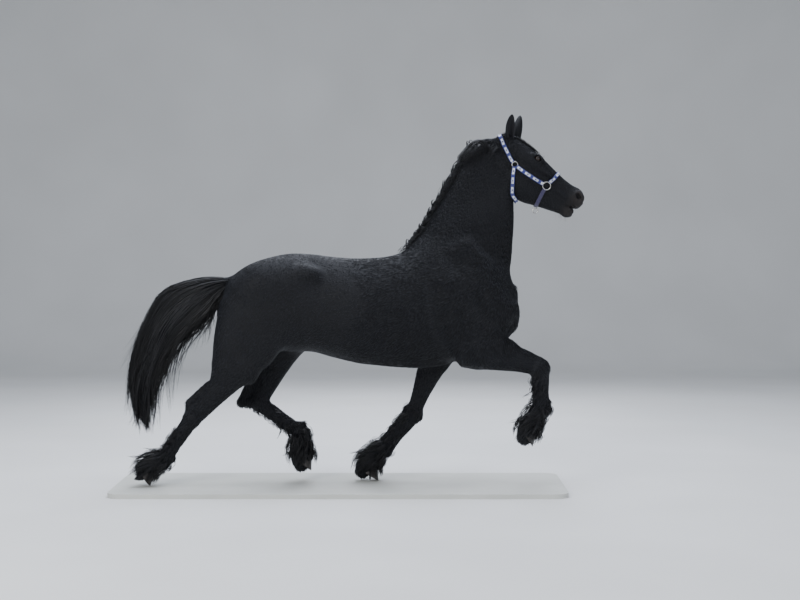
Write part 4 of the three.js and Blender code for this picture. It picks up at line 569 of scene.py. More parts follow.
def skin_surface():
    """The skin as points and quads: a vertex in each cell that the surface crosses, then moved onto it."""
    axes = [graded(-1330, 1660, 1060, 1700), graded(-345, 345, -108, 108), graded(8, 2375, 1870, 2400)]
    block = GRID["block"]
    coarse = [axis[::block] for axis in axes]
    shape = [len(axis) for axis in axes]
    spots = np.stack(np.meshgrid(*coarse, indexing="ij"), -1).reshape(-1, 3)
    rough = skin_field(spots)
    cell = np.sqrt(sum(
        np.gradient(axis)[:, None, None].reshape([-1 if i == j else 1 for j in range(3)]) ** 2
        for i, axis in enumerate(coarse)
    ))
    near = np.abs(rough).reshape(cell.shape) < 1.25 * cell + 6
    spread = rough.reshape(cell.shape)
    for axis in range(3):
        near = np.repeat(near, block, axis)
        spread = np.repeat(spread, block, axis)
    near = near[: shape[0], : shape[1], : shape[2]]
    values = spread[: shape[0], : shape[1], : shape[2]].copy()
    at = np.nonzero(near)
    fine = np.column_stack([axis[i] for axis, i in zip(axes, at)])
    values[at] = skin_field(fine)
    inside = values < 0
    corners = [(a, b, c) for a in (0, 1) for b in (0, 1) for c in (0, 1)]

    def corner(array, a, b, c):
        return array[a : shape[0] - 1 + a, b : shape[1] - 1 + b, c : shape[2] - 1 + c]

    held = sum(corner(inside, *c).astype(np.int8) for c in corners)
    i, j, k = np.nonzero((held > 0) & (held < 8))
    total = np.zeros((len(i), 3))
    crossings = np.zeros(len(i))
    for first in corners:
        for axis in range(3):
            if first[axis]:
                continue
            second = list(first)
            second[axis] = 1
            va = values[i + first[0], j + first[1], k + first[2]]
            vb = values[i + second[0], j + second[1], k + second[2]]
            cut = (va < 0) != (vb < 0)
            place = np.tile(np.array(first, float), (len(i), 1))
            place[:, axis] = np.where(cut, va / np.where(cut, va - vb, 1), 0)
            total += place * cut[:, None]
            crossings += cut
    share = total / crossings[:, None]
    points = np.column_stack([
        axis[n] + share[:, c] * (axis[n + 1] - axis[n]) for c, (axis, n) in enumerate(zip(axes, (i, j, k)))
    ])
    vertex = np.full([n - 1 for n in shape], -1, np.int32)
    vertex[i, j, k] = np.arange(len(i))
    quads = []
    for axis in range(3):
        first = inside[tuple(slice(1, -1) if c != axis else slice(0, -1) for c in range(3))]
        second = inside[tuple(slice(1, -1) if c != axis else slice(1, None) for c in range(3))]
        at = list(np.nonzero(first != second))
        others = [c for c in range(3) if c != axis]
        for c in others:
            at[c] = at[c] + 1
        ring = []
        for da, db in ((-1, -1), (0, -1), (0, 0), (-1, 0)):
            cell_at = list(at)
            cell_at[others[0]] = at[others[0]] + da
            cell_at[others[1]] = at[others[1]] + db
            ring.append(vertex[tuple(cell_at)])
        ring = np.column_stack(ring)
        leaves = inside[tuple(at)]
        flip = leaves if axis != 1 else ~leaves
        quads.append(np.where(flip[:, None], ring, ring[:, ::-1]))
    reach = np.column_stack([(axis[n + 1] - axis[n]) for axis, n in zip(axes, (i, j, k))]).min(1)
    points = onto(skin_field, points, reach=0.8 * reach[:, None])
    quads = np.concatenate(quads)
    return points, quads[(quads >= 0).all(1)]


# The way the coat lies

LIE = [
    ((1085, 0, 2270), (1600, 0, 1850), (0.776, 0, -0.631), 60),
    ((1000, 0, 2150), (900, 0, 1750), (-0.45, 0, -0.9), 90),
    ((880, 0, 1700), (760, 0, 1400), (-0.6, 0, -0.8), 150),
    ((1080, 0, 1500), (1090, 0, 1000), (-0.1, 0, -1), 120),
    ((900, 0, 1300), (850, 0, 1000), (-0.7, 0, -0.75), 160),
    ((700, 0, 1350), (100, 0, 1350), (-0.86, 0, -0.5), 230),
    ((600, 0, 900), (0, 0, 900), (-0.8, 0, -0.5), 150),
    ((0, 0, 1400), (-300, 0, 1380), (-0.8, 0, -0.6), 200),
    ((-350, 0, 1350), (-650, 0, 1200), (-0.62, 0, -0.8), 220),
]
for side in SIDES:
    for bones, names in ((HIND[side], ("hip", "knee", "hock", "fetlock", "toe")),
                         (FORE[side], ("shoulder", "elbow", "knee", "fetlock", "toe"))):
        for first, second in zip(names[1:], names[2:]):
            ax, az, ay = bones[first]
            bx, bz, by = bones[second]
            way = unit(np.array([bx - ax, 0, bz - az], float) + (-40, 0, -30))
            LIE.append(((ax, side * ay, az), (bx, side * by, bz), tuple(way), 70))


def lie_at(p):
    """The way hair lies at each point of the body, from the nearest bones and muscles."""
    total = np.zeros_like(p)
    for start, end, way, reach in LIE:
        a, b = np.array(start, float), np.array(end, float)
        along = b - a
        t = np.clip(((p - a) @ along) / (along @ along), 0, 1)
        away = np.linalg.norm((p - a - t[:, None] * along) * (1, 0.45 if a[1] == 0 else 1, 1), axis=1)
        total += np.exp(-away / (0.35 * reach) - 0.2)[:, None] * np.array(way)
    return unit(total)


def noise3(p, size, seed):
    """A smooth seeded field of three numbers around nought, with swells about as large as size."""
    random = np.random.default_rng(seed)
    total = np.zeros_like(p)
    for _ in range(5):
        wave = unit(random.normal(size=3)) * random.uniform(0.6, 1.5) * 2 * math.pi / size
        total += np.sin(p @ wave + random.uniform(0, 2 * math.pi))[:, None] * unit(random.normal(size=3))
    return total / 2.2


# Meshes

def place_mesh(name, points, faces, material, values=None, uv=None, smooth=True):
    """An object from points in millimetres over the ground and arrays of faces, with values on points."""
    mesh = bpy.data.meshes.new(name)
    spots = np.asarray(points, float) * MM + (0, 0, GROUND)
    mesh.vertices.add(len(spots))
    mesh.vertices.foreach_set("co", spots.astype(np.float32).ravel())
    loops = np.concatenate([np.asarray(f, np.int32).ravel() for f in faces])
    sizes = np.concatenate([np.full(len(f), f.shape[1], np.int32) for f in faces])
    mesh.loops.add(len(loops))
    mesh.loops.foreach_set("vertex_index", loops)
    mesh.polygons.add(len(sizes))
    mesh.polygons.foreach_set("loop_start", np.concatenate([[0], np.cumsum(sizes)[:-1]]).astype(np.int32))
    mesh.polygons.foreach_set("use_smooth", np.full(len(sizes), smooth))
    mesh.update(calc_edges=True)
    for key, numbers in (values or {}).items():
        layer = mesh.attributes.new(key, "FLOAT", "POINT")
        layer.data.foreach_set("value", np.asarray(numbers, np.float32))
    for key, spread in (uv or {}).items():
        layer = mesh.uv_layers.new(name=key)
        layer.data.foreach_set("uv", np.asarray(spread, np.float32)[loops].ravel())
    mesh.materials.append(material)
    piece = bpy.data.objects.new(name, mesh)
    bpy.context.scene.collection.objects.link(piece)
    return piece


def settle(piece, slot, *nodes):
    """Ties a finished piece to the frame."""
    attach(piece, BODY)
    if nodes:
        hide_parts(*nodes)


def ring_quads(rings, around):
    """Faces between closed rings of points that follow each other."""
    ring, i = np.meshgrid(np.arange(rings - 1), np.arange(around), indexing="ij")
    a, b = ring * around + i, ring * around + (i + 1) % around
    return np.stack([a, b, b + around, a + around], -1).reshape(-1, 4)


def fan(centre, first, around):
    """Triangles from a pole to the closed ring of points that begins at first."""
    i = np.arange(around)
    return np.column_stack([np.full(around, centre), first + i, first + (i + 1) % around])


PATCH = 0.003


def bake_patches(roots, axis_low, axis_high, local):
    """Each tuft as a small patch at its root's place on an unwrap along and around the body."""
    a, b = np.array(axis_low, float), np.array(axis_high, float)
    way = unit(b - a)
    length = np.linalg.norm(b - a)
    along = (roots - a) @ way / length
    aside = roots - a - ((roots - a) @ way)[:, None] * way
    level = unit(np.cross(way, (0, 1, 0)))
    around = np.arctan2(aside[:, 1], aside @ level) / (2 * math.pi) + 0.5
    centre = np.column_stack([0.01 + 0.98 * np.clip(along, 0, 1), 0.01 + 0.98 * around])
    return centre[:, None, :] + (local - 0.5) * PATCH


def hair_locks(lines, facing, widths, thick, root_wide=0.5, tip_sharp=2.2):
    """Closed three-sided locks along lines, tapering to a point: points, faces, places along, sides."""
    count, rings = lines.shape[0], lines.shape[1] - 1
    t = np.linspace(0, 1, rings + 1)[:-1]
    shape = mix(root_wide, 1, np.sin(math.pi / 2 * np.minimum(t / 0.3, 1))) * (1 - t ** tip_sharp)
    along = np.empty_like(lines)
    along[:, 1:-1] = lines[:, 2:] - lines[:, :-2]
    along[:, 0] = lines[:, 1] - lines[:, 0]
    along[:, -1] = lines[:, -1] - lines[:, -2]
    along = unit(along)[:, :-1]
    across = unit(np.cross(facing[:, :-1], along))
    up = np.cross(along, across)
    half = (shape * widths[:, None] / 2)[..., None]
    high = (shape * np.asarray(thick)[:, None])[..., None]
    middle = lines[:, :-1]
    section = np.stack([middle - across * half, middle + across * half, middle + up * high], 2)
    points = np.concatenate([section.reshape(count, -1, 3), lines[:, -1:]], 1)
    size = 3 * rings + 1
    caps = np.concatenate([[(0, 2, 1)], fan(size - 1, size - 4, 3)])
    first = (np.arange(count) * size)[:, None, None]
    faces = [(first + ring_quads(rings, 3)).reshape(-1, 4), (first + caps).reshape(-1, 3)]
    place = np.tile(np.concatenate([np.repeat(t, 3), [1.0]]), count)
    side = np.tile(np.concatenate([np.tile([0.0, 1.0, 0.5], rings), [0.5]]), count)
    return points.reshape(-1, 3), faces, place, side


def lock_piece(name, material, lines, facing, widths, thick, axis, random, **shape):
    points, faces, place, side = hair_locks(lines, facing, widths, thick, **shape)
    size = len(points) // len(lines)
    tint = np.repeat(random.uniform(0, 1, len(lines)), size)
    local = np.column_stack([place, side]).reshape(len(lines), size, 2)
    uv = bake_patches(lines[:, 0], *axis, local).reshape(-1, 2)
    return place_mesh(name, points, faces, material, {"tint": tint, "place": place}, {"OFBake": uv})


TUFT_ROOT = 1.5


def tuft_piece(name, material, roots, normals, lie, length, width, lift, axis, random):
    """Short flat tufts: a kite of fur with a ridge, its root sunk in the skin and its tip just off it."""
    count = len(roots)
    way = unit(lie - (lie * normals).sum(1, keepdims=True) * normals)
    across = np.cross(normals, way)
    bend = random.normal(0, 0.1, count)[:, None] * across * length

    def at(t, aside, high):
        off = normals * high + across * width * aside
        return roots + way * length * t + off + bend * t * t

    points = np.stack([
        roots - normals * TUFT_ROOT, at(0.4, -0.5, 0.35 * lift), at(0.4, 0.5, 0.35 * lift),
        at(0.45, 0.0, 0.5 * lift + 0.16 * width), at(1.0, 0.0, lift),
    ], 1)
    shape = np.array([(0, 2, 1), (1, 2, 4), (0, 1, 3), (1, 4, 3), (4, 2, 3), (2, 0, 3)])
    faces = [((np.arange(count) * 5)[:, None, None] + shape).reshape(-1, 3)]
    place = np.tile([0, 0.4, 0.4, 0.45, 1.0], count)
    local = np.tile(np.array([(0, 0.5), (0.4, 0), (0.4, 1), (0.45, 0.5), (1, 0.5)]), (count, 1, 1))
    values = {"tint": np.repeat(random.uniform(0, 1, count), 5), "place": place}
    uv = bake_patches(roots, *axis, local).reshape(-1, 2)
    return place_mesh(name, points.reshape(-1, 3), faces, material, values, {"OFBake": uv})


def drape(field, roots, start, lie, lengths, steps, height, bend=0.3, cling=0.0, floor=6.0):
    """Lines of hair that leave their roots and lie over a field's surface."""
    p, heading = roots.copy(), unit(start)
    lines, outs = [p.copy()], [unit(slope(field, p)[1])]
    step = (lengths / steps)[:, None]
    for _ in range(steps):
        heading = unit(heading + (lie - heading) * bend)
        q = p + heading * step
        d, g = slope(field, q)
        out = unit(g)
        q += out * np.maximum(height - d, 0)[:, None]
        q -= out * (np.maximum(d - height, 0) * cling)[:, None]
        q[:, 2] = np.maximum(q[:, 2], floor)
        heading = unit(q - p)
        p = q
        lines.append(p.copy())
        outs.append(out)
    return np.stack(lines, 1), np.stack(outs, 1)


def clumped(field, lines, outs, each, spread, rise, random, hold=0.75, least=3.0, wave=4.0):
    """Locks around guide lines, drawn together towards their tips."""
    guide = np.repeat(np.arange(len(lines)), each)
    count = len(guide)
    points = lines.shape[1]
    t = np.linspace(0, 1, points)[None, :, None]
    offset = random.normal(0, 1, (count, 1, 3)) * np.asarray(spread, float)
    twist = random.uniform(0, 2 * math.pi, (count, 1, 3))
    swing = np.sin(twist + 2 * math.pi * t * random.uniform(0.6, 1.7, (count, 1, 3))) * wave * t
    out = outs[guide]
    cut = random.uniform(0.62, 1.0, (count, 1, 1))
    run = t * cut * (points - 1)
    low = np.minimum(run.astype(int), points - 2)
    rows = np.arange(count)[:, None]
    base = lines[guide]
    picked = base[rows, low[..., 0]] + (base[rows, low[..., 0] + 1] - base[rows, low[..., 0]]) * (run - low)
    up = out[rows, low[..., 0]]
    raise_by = random.uniform(0, 1, (count, 1, 1)) * rise
    child = picked + offset * (1 - hold * t ** 0.7) + swing + up * raise_by * np.minimum(1, 4 * t)
    flat = child[:, 1:].reshape(-1, 3)
    d, g = slope(field, flat)
    flat = flat + unit(g) * np.maximum(least - d, 0)[:, None]
    flat[:, 2] = np.maximum(flat[:, 2], 4)
    child[:, 1:] = flat.reshape(count, points - 1, 3)
    return child, up


# The skin

# The ears: root in the head's own frame, then tip.
EAR = {RIGHT: ((14, 22, -48), (1127, -78, 2431)), LEFT: ((62, 40, 50), (1192, 74, 2436))}


def ear_leaf(side, rows=20, columns=18):
    """A cupped leaf, rolled at its root and opening forward and out, as thick as an ear is."""
    base, tip = EAR[side]
    base = head_point(*base)
    spine = np.array(tip, float) - base
    length = np.linalg.norm(spine)
    spine = spine / length
    opening = np.array((0.5, side * 0.87, 0))
    opening = unit(opening - (opening @ spine) * spine)
    across = np.cross(spine, opening)
    t, u = np.meshgrid(np.linspace(0, 1, rows + 1), np.linspace(-1, 1, columns + 1), indexing="ij")
    swell = np.sin(math.pi / 2 * np.minimum(t * 1.35, 1))
    half = mix(27, 34, swell) * np.sqrt(np.maximum(1 - t ** 2.6, 0.004))
    angle = u * mix(2.5, 1.35, t ** 0.8)
    layers = []
    for skin in (0, 1):
        radius = half - skin * mix(4.2, 1.8, t) * np.minimum(half / 12, 1)
        radius = radius * (1 + 0.05 * np.abs(u) ** 6 * (1 - skin))
        fold = 2.0 * np.sin(5 * u + 1.2) * (1 - t) * skin
        deep = half * 0.25 - 9.6 * np.sin(math.pi * t) - np.cos(angle) * radius
        wide = np.sin(angle) * (radius + fold)
        layers.append(base + np.stack([t * length, deep, wide], -1) @ np.stack([spine, opening, across]))
    grid, layer = np.arange(t.size).reshape(t.shape), t.size
    outer = np.stack([grid[:-1, :-1], grid[:-1, 1:], grid[1:, 1:], grid[1:, :-1]], -1).reshape(-1, 4)
    rim = np.concatenate([grid[:-1, 0], grid[-1, :-1], grid[:0:-1, -1], grid[0, :0:-1]])
    wall = np.column_stack([rim, np.roll(rim, -1), layer + np.roll(rim, -1), layer + rim])
    faces = np.concatenate([outer, layer + outer[:, ::-1], wall])
    return np.stack(layers).reshape(-1, 3), faces, np.repeat([0.0, 1.0], layer)


def lid_rolls(side):
    """The two lids: rolls round the almond of the eye, the upper one heavier, meeting in its corners."""
    points, faces = [], []
    around, section = 44, 8
    angle = (math.pi * np.arange(around + 1) / around)[:, None]
    turn = 2 * math.pi * np.arange(section) / section
    for row, (upper, thick) in enumerate(((1, 5.4), (-1, 3.6))):
        first = row * (around + 1) * section
        s = EYE["s"] - np.cos(angle) * (EYE["long"] + 2.5)
        n = EYE["n"] + upper * np.sin(angle) ** 0.9 * (EYE["high"] + 1.2) - 0.12 * (s - EYE["s"])
        inward = (EYE["s"] - s) ** 2 + (EYE["n"] - n) ** 2
        y = EYE["y"] + np.sqrt(np.maximum((EYE["radius"] + 2) ** 2 - inward, 40)) - 1
        width = thick * (0.45 + 0.55 * np.sin(angle))
        high = n + upper * (width * 0.55 * (1 + np.cos(turn)) - 1.5)
        points.append(head_point(s, high, side * (y + width * 0.42 * np.sin(turn))).reshape(-1, 3))
        step = 1 if side * upper > 0 else -1
        faces.append(first + ring_quads(around + 1, section)[:, ::step])
        cap = first + np.array([(0, k + 1, k + 2, k + 3) for k in (0, 2, 4)])
        faces += [cap[:, ::-step], cap[:, ::step] + around * section]
    return np.concatenate(points), np.concatenate(faces)


SKIN = {}


def skin_data():
    """The skin's mesh, its normals and the area of each face, made once for all the pieces on it."""
    if not SKIN:
        points, quads = skin_surface()
        a, b, c, d = (points[quads[:, i]] for i in range(4))
        cross = np.cross(c - a, d - b)
        normals = np.zeros_like(points)
        for i in range(4):
            np.add.at(normals, quads[:, i], cross)
        SKIN.update(
            points=points, quads=quads, normals=unit(normals), middle=(a + b + c + d) / 4,
            area=np.linalg.norm(cross, axis=1) / 2,
        )
    return SKIN


# Materials

NOISE, MATH, STORED = "ShaderNodeTexNoise", "ShaderNodeMath", "ShaderNodeAttribute"
RAMP, BLEND, SPAN, BUMP = "ShaderNodeValToRGB", "ShaderNodeMix", "ShaderNodeMapRange", "ShaderNodeBump"
PLACE, MAPPING, SPLIT = "ShaderNodeTexCoord", "ShaderNodeMapping", "ShaderNodeSeparateXYZ"


def linear(code):
    """An sRGB hex colour as the linear one that the shaders work in."""
    parts = [int(code[i : i + 2], 16) / 255 for i in (1, 3, 5)]
    return [c / 12.92 if c <= 0.04045 else ((c + 0.055) / 1.055) ** 2.4 for c in parts] + [1.0]


BLACK, WHITE = linear("#000000"), linear("#ffffff")


def every(size):
    """How often a pattern of this size in millimetres comes in a metre."""
    return 1000 / size


def shade(colour, gain=1.0):
    """A colour from the panel, which is linear already, made lighter or darker."""
    return [min(c * gain, 1.0) for c in colour[:3]] + [1.0]


def add(tree, kind, inputs=None, out=0, stops=(), **settings):
    """A node, or the one that is given, with its settings, its ramp's stops and its inputs, each a value or
    linked from another's output. Gives the output that is asked for, or with None the node."""
    node = tree.nodes.new(kind) if isinstance(kind, str) else kind
    for key, value in settings.items():
        setattr(node, key, value)
    for _ in stops[2:]:
        node.color_ramp.elements.new(1.0)
    for index, (place, colour) in enumerate(stops):
        node.color_ramp.elements[index].position = place
        node.color_ramp.elements[index].color = colour
    for key, value in (inputs or {}).items():
        if isinstance(value, bpy.types.NodeSocket):
            tree.links.new(value, node.inputs[key])
        else:
            node.inputs[key].default_value = value
    return node if out is None else node.outputs[out]


def finish(name):
    """Names a material and makes it once, with the nodes that the function under it adds."""
    def wrap(build):
        def made():
            material = bpy.data.materials.get(name)
            if material is None:
                material = bpy.data.materials.new(name)
                material.use_nodes = True
                build(material.node_tree, material.node_tree.nodes["Principled BSDF"])
            return material
        return made
    return wrap


@finish("black winter coat, brushed flat")
def coat_skin_material(tree, shader):
    """Black skin under a short winter coat: nearly black, with a cool sheen where the fur lies flat, in
    locks about 2 by 4 by 9 mm. The muzzle is bare and brownish grey, and there is grey down in the ears.
    Shade is painted near black into the nostrils, along the seam of the lips and round the eyes."""
    black = bpy.context.scene.horse_coat.colour
    place = add(tree, PLACE, out="Object")
    broad = add(tree, NOISE, {"Vector": place, "Scale": every(250), "Detail": 3.0})
    fur = add(tree, MAPPING, {"Vector": place, "Scale": (every(3.85), every(1.92), every(9.1))})
    strands = add(tree, NOISE, {"Vector": fur, "Scale": 1.0, "Detail": 3.0})
    pores = add(tree, "ShaderNodeTexVoronoi", {"Vector": place, "Scale": every(3)})
    colour = add(tree, RAMP, {"Fac": broad}, stops=[(0.3, shade(black, 0.5)), (0.75, shade(black, 0.9))])
    muzzle = add(tree, RAMP, {"Fac": broad}, stops=[(0.3, linear("#1d1a19")), (0.7, linear("#332e2b"))])
    # dark is painted shade: near black in the nostrils, along the seam of the lips and round the eyes.
    for name, over in (("bare", muzzle), ("down", linear("#242427")), ("dark", linear("#050505"))):
        share = add(tree, STORED, out="Fac", attribute_name=name)
        colour = add(tree, BLEND, {"Factor": share, 6: colour, 7: over}, 2, data_type="RGBA")
    height = add(tree, MATH, {0: strands, 1: pores}, operation="ADD")
    add(tree, shader, {
        "Base Color": colour, "Roughness": add(tree, SPAN, {"Value": broad, "To Min": 0.56, "To Max": 0.7}),
        "Normal": add(tree, BUMP, {"Height": height, "Strength": 0.5, "Distance": 0.0012}),
        "Sheen Weight": 0.03, "Sheen Roughness": 0.4, "Sheen Tint": linear("#9aa6c0"),
        "Specular IOR Level": 0.2,
    }, None)


def hair_finish(tree, shader, colour, gains, roughs, sheen, shine):
    """Horse hair: black keratin with a cool gloss, a little browner and drier towards its tips, over a grain
    of 1.1 mm."""
    tint = add(tree, STORED, out="Fac", attribute_name="tint")
    along = add(tree, STORED, out="Fac", attribute_name="place")
    lock = add(tree, RAMP, {"Fac": tint}, stops=[(i, shade(colour, gain)) for i, gain in enumerate(gains)])
    fade = add(tree, MATH, {0: along, 1: 0.3}, operation="MULTIPLY")
    lock = add(tree, BLEND, {"Factor": fade, 6: lock, 7: linear("#15120f")}, 2, data_type="RGBA")
    place = add(tree, PLACE, out="Object")
    fine = add(tree, NOISE, {"Vector": place, "Scale": every(1.1), "Detail": 1.0})
    rough = add(tree, SPAN, {"Value": tint, "To Min": roughs[0], "To Max": roughs[1]})
    add(tree, shader, {
        "Base Color": lock, "Roughness": rough, "Sheen Weight": sheen, "Sheen Roughness": 0.35,
        "Sheen Tint": linear("#a4afc8"), "Specular IOR Level": shine,
        "Normal": add(tree, BUMP, {"Height": fine, "Strength": 0.25, "Distance": 0.0006}),
    }, None)


@finish("black winter coat, guard hairs")
def coat_hair_material(tree, shader):
    """The tips of the short coat: black guard hairs that break the light into fine streaks."""
    hair_finish(tree, shader, bpy.context.scene.horse_coat.colour, (0.7, 1.7), (0.42, 0.6), 0.05, 0.28)


@finish("long black horse hair")
def long_hair_material(tree, shader):
    """Mane, tail and leg feather: long black horse hair, glossier than the coat and falling in locks."""
    hair_finish(tree, shader, bpy.context.scene.horse_hair.colour, (0.7, 1.9), (0.4, 0.56), 0.03, 0.3)


@finish("hoof horn, worn smooth")
def horn_material(tree, shader):
    """Hoof horn: slate grey with a brown cast, streaked by fibres 0.7 mm wide and ringed by its growth every
    7 mm."""
    rise = add(tree, STORED, out="Fac", attribute_name="rise")
    around = add(tree, STORED, out="Fac", attribute_name="around")
    spread = add(tree, "ShaderNodeCombineXYZ", {"X": around, "Y": rise})
    fibres, rings = (
        add(tree, NOISE, {
            "Vector": add(tree, MAPPING, {
                "Vector": spread, "Scale": (HOOF["half"] / wide, HOOF["wall_rise"] / high, 1),
            }),
            "Scale": 1.0, "Detail": detail,
        }) for wide, high, detail in ((0.71, 26, 3.0), (43, 7, 2.0))
    )
    both = add(tree, MATH, {0: fibres, 1: rings}, operation="MULTIPLY")
    add(tree, shader, {
        "Base Color": add(tree, RAMP, {"Fac": both}, stops=[
            (0.1, linear("#141210")), (0.28, linear("#2c2825")), (0.5, linear("#57514a")),
        ]),
        "Roughness": 0.5, "Normal": add(tree, BUMP, {"Height": both, "Strength": 0.6, "Distance": 0.002}),
    }, None)


@finish("horse eye, wet and clear")
def eye_material(tree, shader):
    """A horse's eye: a wet cornea over a dark brown iris with a wide level pupil."""
    iris = add(tree, STORED, out="Fac", attribute_name="iris")
    place = add(tree, PLACE, out="Object")
    spokes = add(tree, NOISE, {"Vector": place, "Scale": every(2.4), "Detail": 2.0})
    brown = add(tree, RAMP, {"Fac": spokes}, stops=[(0.3, linear("#120904")), (0.7, linear("#26140a"))])
    colour = linear("#040303")
    for low, high, over in ((0.28, 0.36, brown), (0.78, 0.92, linear("#0d0a09"))):
        mask = add(tree, RAMP, {"Fac": iris}, stops=[(low, BLACK), (high, WHITE)])
        colour = add(tree, BLEND, {"Factor": mask, 6: colour, 7: over}, 2, data_type="RGBA")
    add(tree, shader, {
        "Base Color": colour, "Roughness": 0.3, "Specular IOR Level": 0.2, "Coat Weight": 0.35,
        "Coat Roughness": 0.02,
    }, None)


@finish("cotton webbing, woven")
def webbing_material(tree, shader):
    """Woven cotton webbing: coloured warp with white blocks and a small traditional diamond in each, as many
    headcollars have. Its threads are drawn 2 mm long and 4 mm wide, coarser than real, so that they show."""
    look = bpy.context.scene.horse_collar
    spread = add(tree, "ShaderNodeUVMap", uv_map="Strap")
    turn = (2 * math.pi * every(2), 2 * math.pi * STRAP["width"] / 4, 1)
    parts = add(tree, SPLIT, {"Vector": spread}, None).outputs
    weave = add(tree, SPLIT, {"Vector": add(tree, MAPPING, {"Vector": spread, "Scale": turn})}, None).outputs
    made = {"along": parts[0], "across": parts[1], "weave x": weave[0], "weave y": weave[1]}
    for name, operation, first, second in (
        ("turn", "DIVIDE", "along", look.block_spacing), ("turn", "FRACT", "turn", 0.0),
        ("middle", "SUBTRACT", "turn", 0.5), ("middle", "ABSOLUTE", "middle", 0.0),
        ("long", "LESS_THAN", "middle", 0.33), ("level", "SUBTRACT", "across", 0.5),
        ("level", "ABSOLUTE", "level", 0.0), ("high", "LESS_THAN", "level", 0.3),
        ("block", "MULTIPLY", "long", "high"), ("wide", "MULTIPLY", "middle", 1.3),
        ("wide", "ADD", "wide", "level"), ("diamond", "LESS_THAN", "wide", 0.2),
        ("warp", "SINE", "weave x", 0.0), ("weft", "SINE", "weave y", 0.0),
        ("cloth", "MULTIPLY", "warp", "weft"),
    ):
        made[name] = add(tree, MATH, {0: made[first], 1: made.get(second, second)}, operation=operation)
    plain = add(tree, STORED, out="Fac", attribute_name="plain")
    soil = add(tree, NOISE, {"Vector": add(tree, PLACE, out="Object"), "Scale": every(16.7), "Detail": 4.0})
    grime = add(tree, RAMP, {"Fac": soil}, stops=[(0.45, BLACK), (0.8, linear("#c4c4c4"))])
    colour = shade(look.colour)
    for share, over in (
        (made["block"], linear("#c9ccd2")), (made["diamond"], shade(look.colour, 0.8)),
        (plain, shade(look.plain_colour)), (grime, linear("#3d3f46")),
    ):
        colour = add(tree, BLEND, {"Factor": share, 6: colour, 7: over}, 2, data_type="RGBA")
    add(tree, shader, {
        "Base Color": colour, "Roughness": 0.86, "Sheen Weight": 0.3,
        "Normal": add(tree, BUMP, {"Height": made["cloth"], "Strength": 0.5, "Distance": 0.0005}),
    }, None)


def mottled(tree, shader, drift, stops, rough, grain, bump, metallic=0.0):
    """A finish that drifts between two colours and from smoother to rougher places, over a finer grain.
    Drift and grain are a size in millimetres and a detail, and bump a strength and a depth in metres."""
    place = add(tree, PLACE, out="Object")
    broad, fine = (
        add(tree, NOISE, {"Vector": place, "Scale": every(size), "Detail": detail})
        for size, detail in (drift, grain)
    )
    stops = [(at, linear(colour)) for at, colour in stops]
    add(tree, shader, {
        "Base Color": add(tree, RAMP, {"Fac": broad}, stops=stops), "Metallic": metallic,
        "Roughness": add(tree, SPAN, {"Value": broad, "To Min": rough[0], "To Max": rough[1]}),
        "Normal": add(tree, BUMP, {"Height": fine, "Strength": bump[0], "Distance": bump[1]}),
    }, None)


@finish("nickel-plated steel, polished")
def steel_material(tree, shader):
    """Nickel-plated steel rings, cast and polished, dulled by handling in patches of 7 mm."""
    stops = ((0.35, "#c4c3bd"), (0.75, "#8f8d87"))
    mottled(tree, shader, (7.1, 5.0), stops, (0.14, 0.4), (7.1, 5.0), (0.1, 0.0004), 1.0)


@finish("linen thread, waxed")
def thread_material(tree, shader):
    """Waxed white sewing thread, with the twist of its strands."""
    stops = ((0.3, "#a9a69c"), (0.7, "#dcd9cf"))
    mottled(tree, shader, (0.67, 2.0), stops, (0.58, 0.62), (0.67, 2.0), (0.4, 0.0003))


@finish("painted board, matt")
def board_material(tree, shader):
    """The display base: medium-density board sprayed pale grey, matt, with a faint orange-peel grain."""
    stops = ((0.3, "#b9bab4"), (0.7, "#c3c4be"))
    mottled(tree, shader, (333, 3.0), stops, (0.62, 0.74), (1.67, 2.0), (0.15, 0.0004))


@finish("studio floor, matt paint")
def floor_material(tree, shader):
    """A plain pale studio floor, rolled with matt paint."""
    stops = ((0.3, "#d3d3d1"), (0.7, "#dadad8"))
    mottled(tree, shader, (1250, 2.0), stops, (0.85, 0.85), (4, 2.0), (0.0, 0.0001))


# The pieces

BODY_NODES = ["torso", "neck", "head", "ear_right", "ear_left"] + [
    f"{part}_{word}" for word in SIDES.values() for part in
    ("hind_thigh", "hind_gaskin", "hind_cannon", "hind_pastern", "forearm", "fore_cannon", "fore_pastern")
]


def head_frame(p):
    """Places in the head's own frame: s down the face, y, n out of it."""
    q = p - (POLL[0], 0, POLL[1])
    return np.column_stack([q @ HEAD_AXIS, q[:, 1], q @ HEAD_NORMAL])


def make_skin():
    data = skin_data()
    parts = [(data["points"], data["quads"])] + [lid_rolls(side) for side in SIDES]
    parts = [(points, faces, np.zeros(len(points))) for points, faces in parts]
    parts[1:1] = [ear_leaf(side) for side in SIDES]
    first = np.cumsum([0] + [len(part[0]) for part in parts])
    quads = np.concatenate([part[1] + start for part, start in zip(parts, first)])
    points, inner = (np.concatenate([part[i] for part in parts]) for i in (0, 2))
    s, y, n = head_frame(points).T
    on_head = (points[:, 2] > 1700) & (points[:, 0] > 900)
    # The dark mask is painted shade in the nostrils, along the seam of the lips and round the eyes.
    nostril = np.exp(-(((s - 610) / 20) ** 2 + ((n - 12) / 12) ** 2 + ((np.abs(y) - 50) / 16) ** 2))
    lips = np.exp(-(((n - (-84 + 24 * (s - 575) / 85)) / 4.5) ** 2)) * step_up(s, 575, 600)
    lids = np.exp(-(((s - EYE["s"]) / 27) ** 2 + ((n - EYE["n"]) / 17) ** 2) ** 2) * (np.abs(y) > 70)
    values = {
        "bare": step_up(s, 545, 622) * on_head,
        "dark": np.clip(1.6 * nostril + 0.8 * lips + 0.8 * lids, 0, 1) * on_head, "down": inner,
    }
    settle(place_mesh("skin", points, [quads], coat_skin_material(), values), "coat", *BODY_NODES)


